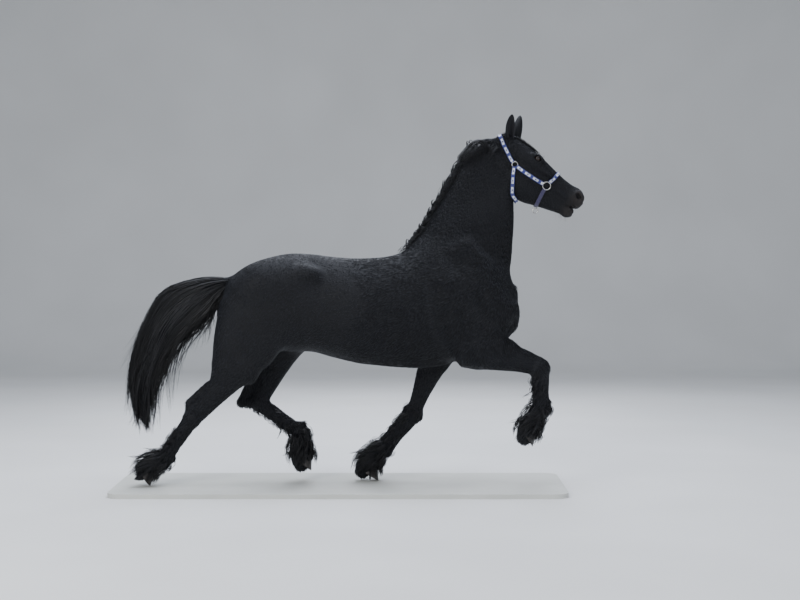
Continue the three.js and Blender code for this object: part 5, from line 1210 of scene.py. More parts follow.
def region_masks(p):
    """Which part of the body each point belongs to."""
    x, y, z = p.T
    head = (x > 960) & (z > 1740) & (head_frame(p)[:, 0] > 34)
    neck = ~head & (z > 1330 + (x - 560) * 0.05) & (x > 560) & (z > 1470)
    belly = (x > -330) & (x < 780) & (z > 740) & (np.abs(y) < 330) & ~head & ((z > 800) | (x < 560))
    legs = (z < np.where(x < -100, 1010, 880)) & ~belly
    return {"head": head, "neck": neck, "legs": legs, "trunk": ~head & ~neck & ~legs}


def scattered(mask, count, random):
    """Roots spread over the chosen faces of the skin by their area."""
    data = skin_data()
    chosen = np.flatnonzero(mask)
    weight = data["area"][chosen]
    pick = chosen[random.choice(len(chosen), count, p=weight / weight.sum())]
    quads = data["points"][data["quads"][pick]]
    u, v = random.uniform(0, 1, (2, count, 1))
    low = quads[:, 0] + (quads[:, 1] - quads[:, 0]) * u
    high = quads[:, 3] + (quads[:, 2] - quads[:, 3]) * u
    corner = data["normals"][data["quads"][pick]]
    return low + (high - low) * v, unit(corner.mean(1))


def smooth_haunch(p):
    """How smooth the coat lies: 1 on the hindquarters and loin, 0 on the ribs and shoulder, softly edged."""
    edge = 175 - 90 * step_up(-p[:, 2], -1250, -950) - 60 * step_up(p[:, 2], 1380, 1500)
    edge = edge + 45 * noise3(p, 160, 12)[:, 0]
    return step_up(edge - p[:, 0], -110, 110) * step_up(p[:, 2], 560, 900)


NECK_LINE = ((700, 0, 1350), (1030, 0, 2200))
FACE_LINE = ((1085, 0, 2230), (1560, 0, 1810))

# The coat's regions: part, side, tufts, and the line that its baked pattern is unwrapped along.
COAT = [
    ("trunk", "right", 21000, (-780, 0, 1150), (1100, 0, 1150)),
    ("trunk", "left", 21000, (-780, 0, 1150), (1100, 0, 1150)),
    ("neck", "", 22000, *NECK_LINE),
    ("head", "", 23000, *FACE_LINE),
    ("hind", "right", 11000, (-620, -140, 1000), (-1200, -120, 100)),
    ("hind", "left", 11000, (-450, 140, 1000), (-230, 120, 200)),
    ("fore", "right", 11000, (900, -150, 900), (1300, -120, 350)),
    ("fore", "left", 11000, (700, 150, 900), (280, 120, 150)),
]


def make_coat():
    look = bpy.context.scene.horse_coat
    middle = skin_data()["middle"]
    masks = region_masks(middle)
    sides = {"right": middle[:, 1] < 0, "left": middle[:, 1] >= 0, "": True}
    ends = {"hind": middle[:, 0] <= 60, "fore": middle[:, 0] > 60}
    material = coat_hair_material()
    for number, (part, side, count, *axis) in enumerate(COAT):
        random = np.random.default_rng(SEED + number)
        mask = masks.get(part, masks["legs"] & ends.get(part, True)) & sides[side]
        roots, normals = scattered(mask, int(count * look.density), random)
        smooth = smooth_haunch(roots)
        waves = 0.26 * noise3(roots, 210, 3) + 0.14 * noise3(roots, 70, 5)
        lie = unit(lie_at(roots) + (1 - 0.9 * smooth)[:, None] * waves)
        size = random.uniform(0.7, 1.25, len(roots))
        keep = np.ones(len(roots), bool)
        if part in ("head", "neck"):
            s, y, n = head_frame(roots).T
            face = step_up(s + 25 * noise3(roots, 120, 9)[:, 0], -60, 190) * step_up(roots[:, 2], 1700, 1850)
            fine = step_up(s, 100, 560) * face
            length, width = mix(mix(34, 15, face), 7, fine) * size, mix(mix(4.6, 3.4, face), 2.2, fine)
            lift = mix(random.uniform(1.2, 4.0, len(roots)), 0.9, face)
            off_eye = (np.hypot(s - EYE["s"], n - EYE["n"]) > 27) | (np.abs(y) < 70)
            off_muzzle = s < random.uniform(585, 660, len(roots))
            keep = (off_eye & off_muzzle) | (face < 0.5)
        elif part == "trunk":
            length, width = mix(38, 24, smooth) * size, mix(4.8, 4.0, smooth) * size
            lift = mix(random.uniform(1.0, 4.4, len(roots)), 0.4, smooth)
        else:
            low = step_up(-roots[:, 2], -700, -380)
            length, width = mix(24, 30, low) * size, mix(4.2, 4.8, low) * size
            lift = mix(random.uniform(0.8, mix(2.2, 6.0, low), len(roots)), 0.4, smooth)
        tufts = [values[keep] for values in (roots, normals, lie)]
        tufts += [values[keep, None] for values in (length, width, lift * look.thickness)]
        name = "_".join(["coat", part] + [side] * bool(side))
        settle(tuft_piece(name, material, *tufts, axis, random), "coat")


NECK_RUN = [(i / (len(NECK) - 1), *row) for i, row in enumerate(NECK)]


def crest_roots(t, y):
    """Points on the crest of the neck: t from the poll to the withers, y across."""
    _, x, z, crest, _, _ = smooth_run(NECK_RUN, t).T
    ahead = smooth_run(NECK_RUN, np.minimum(t + 0.01, 1))
    behind = smooth_run(NECK_RUN, np.maximum(t - 0.01, 0))
    way = unit(ahead[:, 1:3] - behind[:, 1:3])
    p = np.column_stack([x + way[:, 1] * crest, y, z - way[:, 0] * crest])
    return onto(body, p, 0.0, 4)


def spread_out(field, p):
    return unit(slope(field, p)[1])


# Styles of long hair: how its guide lines drape, how locks gather round them, their width and flatness.
MANE = {
    "guides": 190, "steps": 12, "bend": 0.24, "cling": 0.35, "each": 12, "spread": (17, 5, 9), "rise": 15,
    "hold": 0.7, "least": 4.0, "wave": 5, "width": (6, 12), "flat": 0.3,
}
CREST = {
    "guides": 120, "steps": 7, "bend": 0.35, "cling": 0.25, "each": 6, "spread": (13, 6, 12), "rise": 6,
    "hold": 0.35, "least": 2.5, "wave": 3, "width": (3, 6), "flat": 0.35, "at_poll": 44,
}
FORELOCK = {
    "guides": 34, "steps": 9, "bend": 0.3, "cling": 0.8, "each": 10, "spread": (5, 4, 5), "rise": 3,
    "hold": 0.75, "least": 2.5, "wave": 3, "width": (3.5, 7.5), "flat": 0.3,
}
FEATHER = {
    "guides": 200, "steps": 8, "bend": 0.3, "cling": 0.4, "each": 6, "spread": (8, 8, 8), "rise": 6,
    "hold": 0.5, "least": 1.5, "wave": 3, "width": (3.2, 6.4), "flat": 0.32, "fan": 1.1, "above": -2.6,
}
WISPS = {**FEATHER, "guides": 10, "cling": 0.0, "each": 5, "hold": 0.85, "fan": 0.5, "above": -1.2}
FEATHER_FRONT = 86


def locks_on(field, roots, start, lie, lengths, heights, style, random):
    """Locks draped over a field in one of the styles of hair."""
    steps, bend, cling = style["steps"], style["bend"], style["cling"]
    lines, outs = drape(field, roots, start, lie, lengths, steps, heights, bend, cling)
    return clumped(
        field, lines, outs, style["each"], style["spread"], style["rise"], random, style["hold"],
        style["least"], style["wave"],
    )


def hang(name, field, roots, start, lie, lengths, heights, style, axis, random):
    """Guide lines draped over a field, drawn into locks and placed as a finished piece of long hair."""
    lines, outs = locks_on(field, roots, start, lie, lengths, heights, style, random)
    widths = random.uniform(*style["width"], len(lines))
    piece = lock_piece(
        name, long_hair_material(), lines, outs, widths, widths * style["flat"], axis, random,
    )
    settle(piece, "hair")


def make_mane():
    look = bpy.context.scene.horse_hair
    random = np.random.default_rng(SEED + 30)
    count = MANE["guides"]
    t = np.linspace(0.0, 0.88, count) + random.uniform(-0.004, 0.004, count)
    roots = crest_roots(t, random.uniform(-6, 20, count))
    start = unit(0.6 * spread_out(body, roots) + (0.1, LEFT, 0))
    lie = unit(np.column_stack([
        0.12 + random.normal(0, 0.06, count), np.full(count, 0.02), np.full(count, -1.0),
    ]))
    lengths = look.mane_length / MM * random.uniform(0.72, 1.08, count)
    heights = random.uniform(5, 17, count) + 10 * step_up(-t, -0.16, -0.02)
    hang("mane", body, roots, start, lie, lengths, heights, MANE, NECK_LINE, random)

    poll, count = CREST["at_poll"], CREST["guides"]
    t = np.concatenate([random.uniform(-0.04, 0.16, poll), random.uniform(0.12, 0.98, count - poll)])
    roots = crest_roots(t, random.uniform(-18, 6, count))
    start = unit(0.45 * spread_out(body, roots) + np.column_stack([
        random.normal(-0.5, 0.2, count), random.normal(-0.2, 0.3, count), random.normal(-0.3, 0.2, count),
    ]))
    lie = unit(np.column_stack([
        random.normal(-0.5, 0.15, count), random.normal(-0.2, 0.2, count), np.full(count, -0.85),
    ]))
    lengths = np.where(t < 0.14, random.uniform(60, 130, count), random.uniform(35, 80, count))
    heights = np.where(t < 0.14, random.uniform(6, 20, count), random.uniform(3, 8, count))
    hang("mane_crest", body, roots, start, lie, lengths, heights, CREST, NECK_LINE, random)

    count = FORELOCK["guides"]
    y = np.linspace(-24, 34, count) + random.uniform(-2, 2, count)
    roots = onto(body, head_point(random.uniform(28, 80, count), 60, y), 0.0, 4)
    start = unit(0.7 * spread_out(body, roots) + HEAD_AXIS)
    lie = unit(HEAD_AXIS + np.column_stack([
        np.zeros(count), random.normal(0.0, 0.06, count) + y / 170, np.full(count, -0.1),
    ]))
    lengths = look.forelock_length / MM * random.uniform(0.6, 1.1, count)
    heights = random.uniform(1.5, 4.5, count)
    hang("forelock", body, roots, start, lie, lengths, heights, FORELOCK, FACE_LINE, random)


TAIL_RUN = [(i / (len(TAIL) - 1), *row) for i, row in enumerate(TAIL)]
TAIL_LINE = ((-700, 0, 1345), (-1290, 0, 380))


def in_tail(t, depth, y):
    """Places in the tail's hair: t along it, depth from -1 at its inner edge to 1 at its outer, y too."""
    flat = t.ravel()
    at = smooth_run(TAIL_RUN, np.minimum(flat, 1))
    way = unit(
        smooth_run(TAIL_RUN, np.minimum(flat + 0.01, 1))[:, 1:3]
        - smooth_run(TAIL_RUN, np.clip(flat - 0.01, 0, 0.99))[:, 1:3]
    )
    depth, y = np.broadcast_to(depth, t.shape).ravel(), np.broadcast_to(y, t.shape).ravel()
    off = depth * np.where(depth > 0, at[:, 3], at[:, 4])
    spot = np.column_stack([at[:, 1] + way[:, 1] * off, y * at[:, 5], at[:, 2] - way[:, 0] * off])
    beyond = np.maximum(flat - 1, 0)[:, None] * 900
    return (spot + beyond * np.column_stack([way[:, 0], 0 * flat, way[:, 1]])).reshape(*t.shape, 3)


def make_tail():
    rings = 13
    for side, word in SIDES.items():
        random = np.random.default_rng(SEED + 40 + side)
        clumps, each = 175, 10
        radius = np.sqrt(random.uniform(0.02, 1, clumps))
        turn = random.uniform(-math.pi / 2, math.pi / 2, clumps)
        depth, aside = radius * np.sin(turn), side * radius * np.cos(turn)
        rim = np.abs(depth) ** 3
        start = random.uniform(0.0, 0.36, clumps) * (1.1 - 0.9 * radius) + 0.02
        end = random.uniform(0.72, 1.06, clumps) - 0.38 * rim * random.uniform(0, 1, clumps) ** 2
        flick = random.normal(0, 1, (clumps, 3)) * (24, 14, 8) + np.column_stack([
            -40 * np.maximum(depth, 0) * random.uniform(0, 1.5, clumps), np.zeros(clumps), np.zeros(clumps),
        ])
        loose = (random.uniform(0, 1, clumps) < 0.5) & (depth < -0.4)
        end = np.where(loose, random.uniform(0.34, 0.85, clumps), end)
        fall = np.column_stack([
            random.uniform(10, 70, clumps), random.normal(0, 12, clumps), random.uniform(-150, -50, clumps),
        ]) * loose[:, None]
        phase = random.uniform(0, 2 * math.pi, (clumps, 3))
        curl = random.uniform(0.7, 1.9, (clumps, 3))
        of = np.repeat(np.arange(clumps), each)
        count = len(of)
        part = np.linspace(0, 1, rings + 1)[None, :]
        near = 1 - 0.75 * part
        u = depth[of, None] + random.normal(0, 0.1, (count, 1)) * near
        v = aside[of, None] + random.normal(0, 0.12, (count, 1)) * near
        grow = np.maximum(1, np.hypot(u, v))
        rise = 0.3 + 0.7 * np.sin(math.pi / 2 * np.minimum(part * 2.6 + 0.15, 1))
        first = start[of, None] + random.uniform(-0.02, 0.05, (count, 1))
        last = end[of, None] - 0.16 * random.uniform(0, 1, (count, 1)) ** 2
        t = np.maximum(first + (last - first) * part, 0)
        lines = in_tail(t, u / grow * rise * 0.97, v / grow * rise * 0.97)
        sway = np.sin(phase[of, None] + 2 * math.pi * curl[of, None] * part[..., None]) * (20, 13, 6)
        own = np.sin(random.uniform(0, 6.3, (count, 1, 3)) + 9 * part[..., None]) * (4, 4, 2)
        lines += (sway + own) * (part ** 1.2)[..., None]
        lines += flick[of, None] * (part ** 4)[..., None] + fall[of, None] * (part ** 2)[..., None]
        curls = np.sin(phase[of, None] * 3 + random.normal(0, 0.4, (count, 1, 3)) + 17 * part[..., None])
        lines += curls * (9, 7, 5) * (part ** 4)[..., None]
        low = in_tail(t, 0, 0)
        outs = unit(lines - low + (0, side * 4, 0))
        widths = random.uniform(6, 13, count)
        tail = lock_piece(
            f"tail_{word}", long_hair_material(), lines, outs, widths, widths * 0.32, TAIL_LINE, random,
            root_wide=0.4,
        )
        settle(tail, "hair", *(["tail"] if side == RIGHT else []))


def make_feathers():
    look = bpy.context.scene.horse_hair
    kinds = ((HIND, "hock", "hind"), (FORE, "knee", "fore"))
    for number, (legs, upper, kind, side) in enumerate((*row, side) for row in kinds for side in SIDES):
        leg = legs[side]
        random = np.random.default_rng(SEED + 51 + number)
        flesh = lower_leg(leg[upper], leg, side, LEG_THICK[kind])
        wall = sweep([
            (*foot_point(leg, 96, 61), side * leg["toe"][2], 50, 50, 52),
            (*foot_point(leg, 66, 14), side * leg["toe"][2], 60, 60, 60),
        ], cap=0.4)
        under = joined([(flesh, 1), (feather_bell(leg, side), 16), (wall, 8)]).distance
        joint, fetlock, crown = (
            np.array((x, side * y, z), float) for x, z, y in (leg[upper], leg["fetlock"], coronet(leg))
        )
        shin, down = unit(fetlock - joint), unit(crown - fetlock)
        x, z = foot_point(leg, 22, 12)
        hoofward = unit(np.array((x, crown[1], z)) - crown)
        flow = unit(np.array((leg["flow"][0], 0, leg["flow"][1]), float))
        reach = np.linalg.norm(crown - fetlock)
        groups = []
        for style in (FEATHER, WISPS):
            guides, wisps = style["guides"], style is WISPS
            angle = random.normal(0, style["fan"], guides)
            if not wisps:
                angle[::2] = random.uniform(-math.pi, math.pi, len(angle[::2]))
            behind = ((1 + np.cos(angle)) / 2)[:, None]
            place = random.uniform(-0.15, 1.1, guides)
            high = random.uniform(0, 1, guides) ** 1.6
            place = np.where(random.uniform(0, 1, guides) < 0.4 * behind[:, 0], style["above"] * high, place)
            way = np.where(place[:, None] < 0, shin, down)
            back = unit(np.column_stack([way[:, 2], 0 * place, -way[:, 0]]))
            away = back * np.cos(angle)[:, None] + np.array((0, side, 0)) * np.sin(angle)[:, None]
            roots = fetlock + way * (place * reach)[:, None] + away * 30
            roots = onto(under, roots, -1.0, 6, np.full((guides, 1), 90.0))
            low = step_up(place, 0.3, 0.95)[:, None] * (1 - behind)
            swept = (hoofward - way) * low + (flow - way) * 0.55 * behind
            lie = unit(way + swept + away * (0.06 + 0.1 * behind))
            lengths = mix(FEATHER_FRONT, look.feather_length / MM, behind[:, 0] ** 1.4)
            lengths = lengths * random.uniform(0.6, 1.05, guides) * np.where(place < -0.3, 0.5, 1.0)
            start = unit(0.35 * away + lie)
            if wisps:
                lie = unit(flow + 0.45 * away + random.normal(0, 0.16, (guides, 3)))
                lengths, start = random.uniform(60, 115, guides), unit(way + away)
            lie = unit(lie + random.normal(0, 0.05, (guides, 3)))
            heights = np.where(place < -0.3, random.uniform(1, 5, guides), random.uniform(2, 13, guides))
            groups.append(locks_on(under, roots, start, lie, lengths, heights, style, random))
        lines, outs = (np.concatenate(group) for group in zip(*groups))
        widths = random.uniform(*FEATHER["width"], len(lines))
        piece = lock_piece(
            f"feather_{kind}_{SIDES[side]}", long_hair_material(), lines, outs, widths,
            widths * FEATHER["flat"], (joint, crown), random, root_wide=0.35,
        )
        settle(piece, "hair")


def make_hooves():
    """Horn lofted from the ground to the coronet, sloped at the toe and lower at the heel."""
    around = 48
    turn = 2 * math.pi * np.arange(around) / around
    forward = (1 - np.cos(turn)) / 2
    levels = [(0, 5.0), (0, 0.0)] + [(r / 11, 0.0) for r in range(12)]
    total = len(levels) * around
    quads = ring_quads(len(levels), around)
    fans = np.concatenate([fan(total, 0, around)[:, ::-1], fan(total + 1, total - around, around)])
    around_values = np.concatenate([np.tile(np.cos(turn), len(levels)), [0, 0]])
    for legs, kind in ((HIND, "hind"), (FORE, "fore")):
        for side, word in SIDES.items():
            leg = legs[side]
            middle = leg["toe"][2]
            points, rise = [], []
            for level, inset in levels:
                flare = 1.5 * math.sin(level * 16) * (1 - level)
                toe_run = mix(2, HOOF["wall_run"], level) + inset - 0.4 * flare
                heel_run = mix(HOOF["sole"] - 2, HOOF["heel_run"], level) - inset
                half = mix(HOOF["half"], HOOF["coronet"], level) - inset + 0.5 * flare
                up = mix(mix(1.5, HOOF["wall_rise"], level), mix(1.5, HOOF["heel_rise"], level), forward)
                x, z = foot_point(leg, mix(toe_run, heel_run, forward), up)
                aside = side * (middle + half * np.sin(turn))
                points.append(np.column_stack([x, aside, np.maximum(z, 0.6)]))
                rise += [level] * around
            for level, place in ((0, (HOOF["sole"] * 0.55, 9)), (1, np.add(CROWN_OF_HOOF, (0, 6)))):
                x, z = foot_point(leg, *place)
                points.append([(x, side * middle, max(z, 2))])
                rise.append(level)
            step = 1 if side == RIGHT else -1
            hoof = place_mesh(
                f"hoof_{kind}_{word}", np.concatenate(points), [quads[:, ::step], fans[:, ::step]],
                horn_material(), {"rise": rise, "around": around_values},
            )
            settle(hoof, "horn", f"{kind}_hoof_{word}")


def make_eyes():
    """Eyeballs with a level pupil, set behind the lids."""
    rings, around, radius = 28, 40, EYE["radius"]
    polar = (math.pi * np.arange(1, rings) / rings)[:, None]
    turn = 2 * math.pi * np.arange(around) / around
    ahead = np.cos(polar) + 0 * turn
    aside, high = np.sin(polar) * np.cos(turn), np.sin(polar) * np.sin(turn)
    bulge = 1 + 0.045 * np.maximum(0, np.cos(polar * 1.6)) * (polar < 1)
    iris = np.where(polar < 1.2, np.hypot(aside * 0.62, high * 1.5), 1.2).ravel()
    iris = np.concatenate([[0.0], iris, [1.2]])
    last = len(iris) - 1
    quads = 1 + ring_quads(rings - 1, around)[:, [0, 3, 2, 1]]
    fans = np.concatenate([fan(0, 1, around), fan(last, last - around, around)[:, ::-1]])
    for side, word in SIDES.items():
        centre = head_point(EYE["s"], EYE["n"], side * EYE["y"])
        outwards = unit(np.array((0.14, side, 0.02)))
        level = unit(np.cross((0, 0, 1), outwards))
        ball = np.stack([ahead, aside, high], -1) @ np.stack([outwards, level, np.cross(outwards, level)])
        points = np.concatenate([
            [centre + outwards * (radius + 0.9)], (centre + radius * bulge[..., None] * ball).reshape(-1, 3),
            [centre - outwards * radius],
        ])
        ball = place_mesh(f"eyeball_{word}", points, [quads, fans], eye_material(), {"iris": iris})
        settle(ball, "eye", f"eye_{word}")


# The headcollar

STRAP = {"width": 25.0, "thick": 3.2, "clearance": 4.4, "throat_clearance": 8.4}
CROWN = [
    (147, -93, 88), (112, -84, 84), (62, -58, 74), (12, -34, 62), (-28, -6, 40), (-44, 6, 0),
]
THROAT = [
    (147, -93, 88), (180, -142, 78), (222, -196, 70), (256, -238, 50), (276, -262, 24), (282, -268, 0),
]
NOSEBAND = [(402, -67, 66), (404, -30, 66), (409, 20, 52), (413, 48, 26), (414, 54, 0)]
CHIN = [(402, -67, 66), (410, -120, 58), (424, -180, 46), (434, -212, 26), (438, -220, 0)]
CHEEK_STRAP = [(147, -93, 88), (230, -90, 84), (320, -80, 76), (402, -67, 66)]

# A strap's section: places across it and through it, as parts of its half width and its thickness.
STRAP_SECTION = [
    (-1, -0.2), (-0.98, -0.5), (-0.5, -0.5), (0, -0.5), (0.5, -0.5), (0.98, -0.5), (1, -0.2), (1, 0.2),
    (0.96, 0.46), (0.5, 0.5), (0, 0.5), (-0.5, 0.5), (-0.96, 0.46), (-1, 0.2),
]


def through(points, count):
    """A smooth line through points, as evenly spaced points, and its length."""
    p = np.array(points, float)
    p = np.concatenate([[2 * p[0] - p[1]], p, [2 * p[-1] - p[-2]]])
    t = np.linspace(0, 1, 24, endpoint=False)[:, None]
    fine = [
        0.5 * (2 * b + (c - a) * t + (2 * a - 5 * b + 4 * c - d) * t * t + (3 * b - a - 3 * c + d) * t ** 3)
        for a, b, c, d in zip(p, p[1:], p[2:], p[3:])
    ]
    fine = np.concatenate(fine + [p[-2:-1]])
    run = np.concatenate([[0], np.cumsum(np.linalg.norm(np.diff(fine, axis=0), axis=1))])
    at = np.linspace(0, run[-1], count)
    return np.column_stack([np.interp(at, run, fine[:, c]) for c in range(3)]), run[-1]


def ring_place(place, radius, tube):
    """A ring lying against the head: its centre, the way out of it, its radius and its tube."""
    seat = onto(body, head_point(*place)[None], 0.0, 6)
    normal = unit(slope(body, seat)[1])[0]
    seat = seat[0]
    first = unit(np.cross(normal, (0, 0, 1)))
    second = np.cross(normal, first)
    turns = np.linspace(0, 2 * math.pi, 17)[:-1]
    rim = radius * (np.cos(turns)[:, None] * first + np.sin(turns)[:, None] * second)
    lift = tube + 1
    while lift < 40 and body(seat + normal * lift + rim).min() < tube + 1.2:
        lift += 0.5
    return {"centre": seat + normal * lift, "normal": normal, "radius": radius, "tube": tube}


def ring_piece(name, ring, material, node):
    around, section = 56, 16
    normal = ring["normal"]
    first = unit(np.cross(normal, (0, 0, 1)))
    a = (2 * math.pi * np.arange(around) / around)[:, None, None]
    b = (2 * math.pi * np.arange(section) / section)[:, None]
    spoke = np.cos(a) * first + np.sin(a) * np.cross(normal, first)
    out = ring["radius"] + ring["tube"] * np.cos(b)
    points = ring["centre"] + spoke * out + normal * ring["tube"] * np.sin(b)
    quads = ring_quads(around + 1, section)[:, [0, 3, 2, 1]] % (around * section)
    settle(place_mesh(name, points.reshape(-1, 3), [quads], material), "metal", node)


def strap_piece(name, path, ends, node, material, clearance, plain=0.0, mirrored=True, rows=90):
    """A woven strap laid on the head along a path, with soft edges, its ends stopping just inside the rings
    and, on a strap that is not mirrored, thickened over their last few rows.
    """
    places = [(s, n, -y) for s, n, y in path]
    if mirrored:
        places += path[-2::-1]
    line, _ = through(head_point(*np.array(places, float).T), rows * 3)
    line = onto(body, line, clearance + STRAP["thick"] / 2, 5)
    free = np.ones(len(line), bool)
    for ring in ends:
        free &= np.linalg.norm(line - ring["centre"], axis=1) > ring["radius"] - ring["tube"] - 2
    line, length = through(line[free][::6], rows)
    for _ in range(6):
        line[1:-1] += 0.5 * ((line[2:] + line[:-2]) / 2 - line[1:-1])
    normals = unit(slope(body, line)[1])
    for _ in range(8):
        normals[1:-1] = unit(normals[:-2] + normals[1:-1] + normals[2:])
    across = unit(np.cross(normals, unit(np.gradient(line, axis=0))))
    half, thick = STRAP["width"] / 2, STRAP["thick"]
    surface = {}
    for u in sorted({u for u, _ in STRAP_SECTION}):
        low = line + across * (u * half)
        surface[u] = mix(low, onto(body, low, clearance + thick / 2, 4, np.full((rows, 1), 7.0)), 0.7)
    from_end = np.minimum(np.arange(rows), rows - 1 - np.arange(rows))[:, None]
    grow = 1 + 0.3 * np.maximum(0, 1 - from_end / 5) * (not mirrored)
    points = np.stack([surface[u] + normals * (v * thick * grow) for u, v in STRAP_SECTION], 1)
    points = points.reshape(-1, 3)
    size = len(STRAP_SECTION)
    run = np.linspace(0, length * MM, rows)
    uv = np.column_stack([np.repeat(run, size), np.tile([u / 2 + 0.5 for u, _ in STRAP_SECTION], rows)])
    quads = ring_quads(rows, size)
    caps = np.stack([np.arange(size)[::-1], np.arange(size) + (rows - 1) * size])
    spots = points - points.mean(0)
    a, b, c, d = (spots[quads[:, i]] for i in range(4))
    if (a * (np.cross(b, c) + np.cross(c, d))).sum() < 0:
        quads, caps = quads[:, ::-1], caps[:, ::-1]
    values = {"plain": np.full(len(points), plain)}
    settle(place_mesh(name, points, [quads, caps], material, values, {"Strap": uv}), "webbing", node)
    return line, across, normals


def open_tree(name, sizes):
    """A tree of Geometry Nodes with its sizes as named inputs, and those inputs' sockets."""
    tree = bpy.data.node_groups.new(name, "GeometryNodeTree")
    for key, kind, value in [("Geometry", "Geometry", None), *sizes, ("Material", "Material", None)]:
        socket = tree.interface.new_socket(key, in_out="INPUT", socket_type=f"NodeSocket{kind}")
        if value is not None:
            socket.default_value = value
    tree.interface.new_socket("Geometry", in_out="OUTPUT", socket_type="NodeSocketGeometry")
    return tree, tree.nodes.new("NodeGroupInput").outputs


def close_tree(tree, given, spread):
    """Puts a copy on each point, makes the copies one plain mesh and gives it its material."""
    copies = add(tree, "GeometryNodeInstanceOnPoints", spread)
    whole = add(tree, "GeometryNodeRealizeInstances", {"Geometry": copies})
    done = add(tree, "GeometryNodeSetMaterial", {"Geometry": whole, "Material": given["Material"]})
    add(tree, "NodeGroupOutput", {"Geometry": done}, None)
    return tree


def stitch_tree():
    """Stitches along a line: a thread's short arc at each step, lying along the line."""
    tree, given = open_tree("stitches", [
        ("Stitch Length", "Float", 0.0036), ("Spacing", "Float", 0.0055), ("Thread", "Float", 0.0006),
    ])
    curve = add(tree, "GeometryNodeMeshToCurve", {"Mesh": given["Geometry"]})
    step = {"Curve": curve, "Length": given["Spacing"]}
    tangent = add(tree, "GeometryNodeInputTangent")
    half = add(tree, MATH, {0: given["Stitch Length"], 1: 0.5}, operation="MULTIPLY")
    return close_tree(tree, given, {
        "Points": add(tree, "GeometryNodeResampleCurve", step, mode="LENGTH"),
        "Rotation": add(tree, "FunctionNodeAlignRotationToVector", {"Vector": tangent}, axis="Z"),
        "Instance": add(tree, "GeometryNodeMeshUVSphere", {"Segments": 6, "Rings": 4, "Radius": 1.0}),
        "Scale": add(tree, "ShaderNodeCombineXYZ", {"X": given["Thread"], "Y": given["Thread"], "Z": half}),
    })


def whisker_tree():
    """Whiskers: a thin bent hair at each root, turned to the way stored there, each of its own length."""
    tree, given = open_tree("whiskers", [
        ("Length", "Float", 0.045), ("Thickness", "Float", 0.0007), ("Seed", "Int", 4),
    ])
    line = add(tree, "GeometryNodeCurvePrimitiveBezierSegment", {
        "Resolution": 5, "Start": (0, 0, 0), "Start Handle": (0, 0, 0.4), "End Handle": (0.1, 0, 0.8),
        "End": (0.22, 0, 1),
    })
    along = add(tree, "GeometryNodeSplineParameter", out="Factor")
    taper = add(tree, SPAN, {"Value": along, "To Min": 1.0, "To Max": 0.25})
    thick = add(tree, MATH, {0: given["Thickness"], 1: given["Length"]}, operation="DIVIDE")
    section = add(tree, "GeometryNodeCurvePrimitiveCircle", {"Resolution": 3, "Radius": 0.5})
    hair = add(tree, "GeometryNodeCurveToMesh", {
        "Curve": line, "Profile Curve": section,
        "Scale": add(tree, MATH, {0: taper, 1: thick}, operation="MULTIPLY"), "Fill Caps": True,
    })
    way = {"Name": "way"}
    way = add(tree, "GeometryNodeInputNamedAttribute", way, "Attribute", data_type="FLOAT_VECTOR")
    chance = {"Seed": given["Seed"], "Min": 0.45, "Max": 1.0}
    chance = add(tree, "FunctionNodeRandomValue", chance, "Value", data_type="FLOAT")
    return close_tree(tree, given, {
        "Points": given["Geometry"], "Instance": hair,
        "Rotation": add(tree, "FunctionNodeAlignRotationToVector", {"Vector": way}, axis="Z"),
        "Scale": add(tree, MATH, {0: chance, 1: given["Length"]}, operation="MULTIPLY"),
    })


def grown(name, tree, points, edges, inputs, attributes=None):
    """A plain mesh that a tree of Geometry Nodes grows from points and edges."""
    mesh = bpy.data.meshes.new(name)
    mesh.from_pydata([tuple(np.asarray(p) * MM + (0, 0, GROUND)) for p in points], edges, [])
    for key, vectors in (attributes or {}).items():
        layer = mesh.attributes.new(key, "FLOAT_VECTOR", "POINT")
        layer.data.foreach_set("vector", np.asarray(vectors, np.float32).ravel())
    seedling = bpy.data.objects.new(name, mesh)
    bpy.context.scene.collection.objects.link(seedling)
    modifier = seedling.modifiers.new("grow", "NODES")
    modifier.node_group = tree
    for socket in tree.interface.items_tree:
        if socket.in_out == "INPUT" and socket.name in inputs:
            modifier[socket.identifier] = inputs[socket.name]
    view = bpy.context.evaluated_depsgraph_get()
    plain = bpy.data.meshes.new_from_object(seedling.evaluated_get(view))
    seedling.modifiers.remove(modifier)
    seedling.data = plain
    bpy.data.meshes.remove(mesh)
    plain.name = name
    return seedling


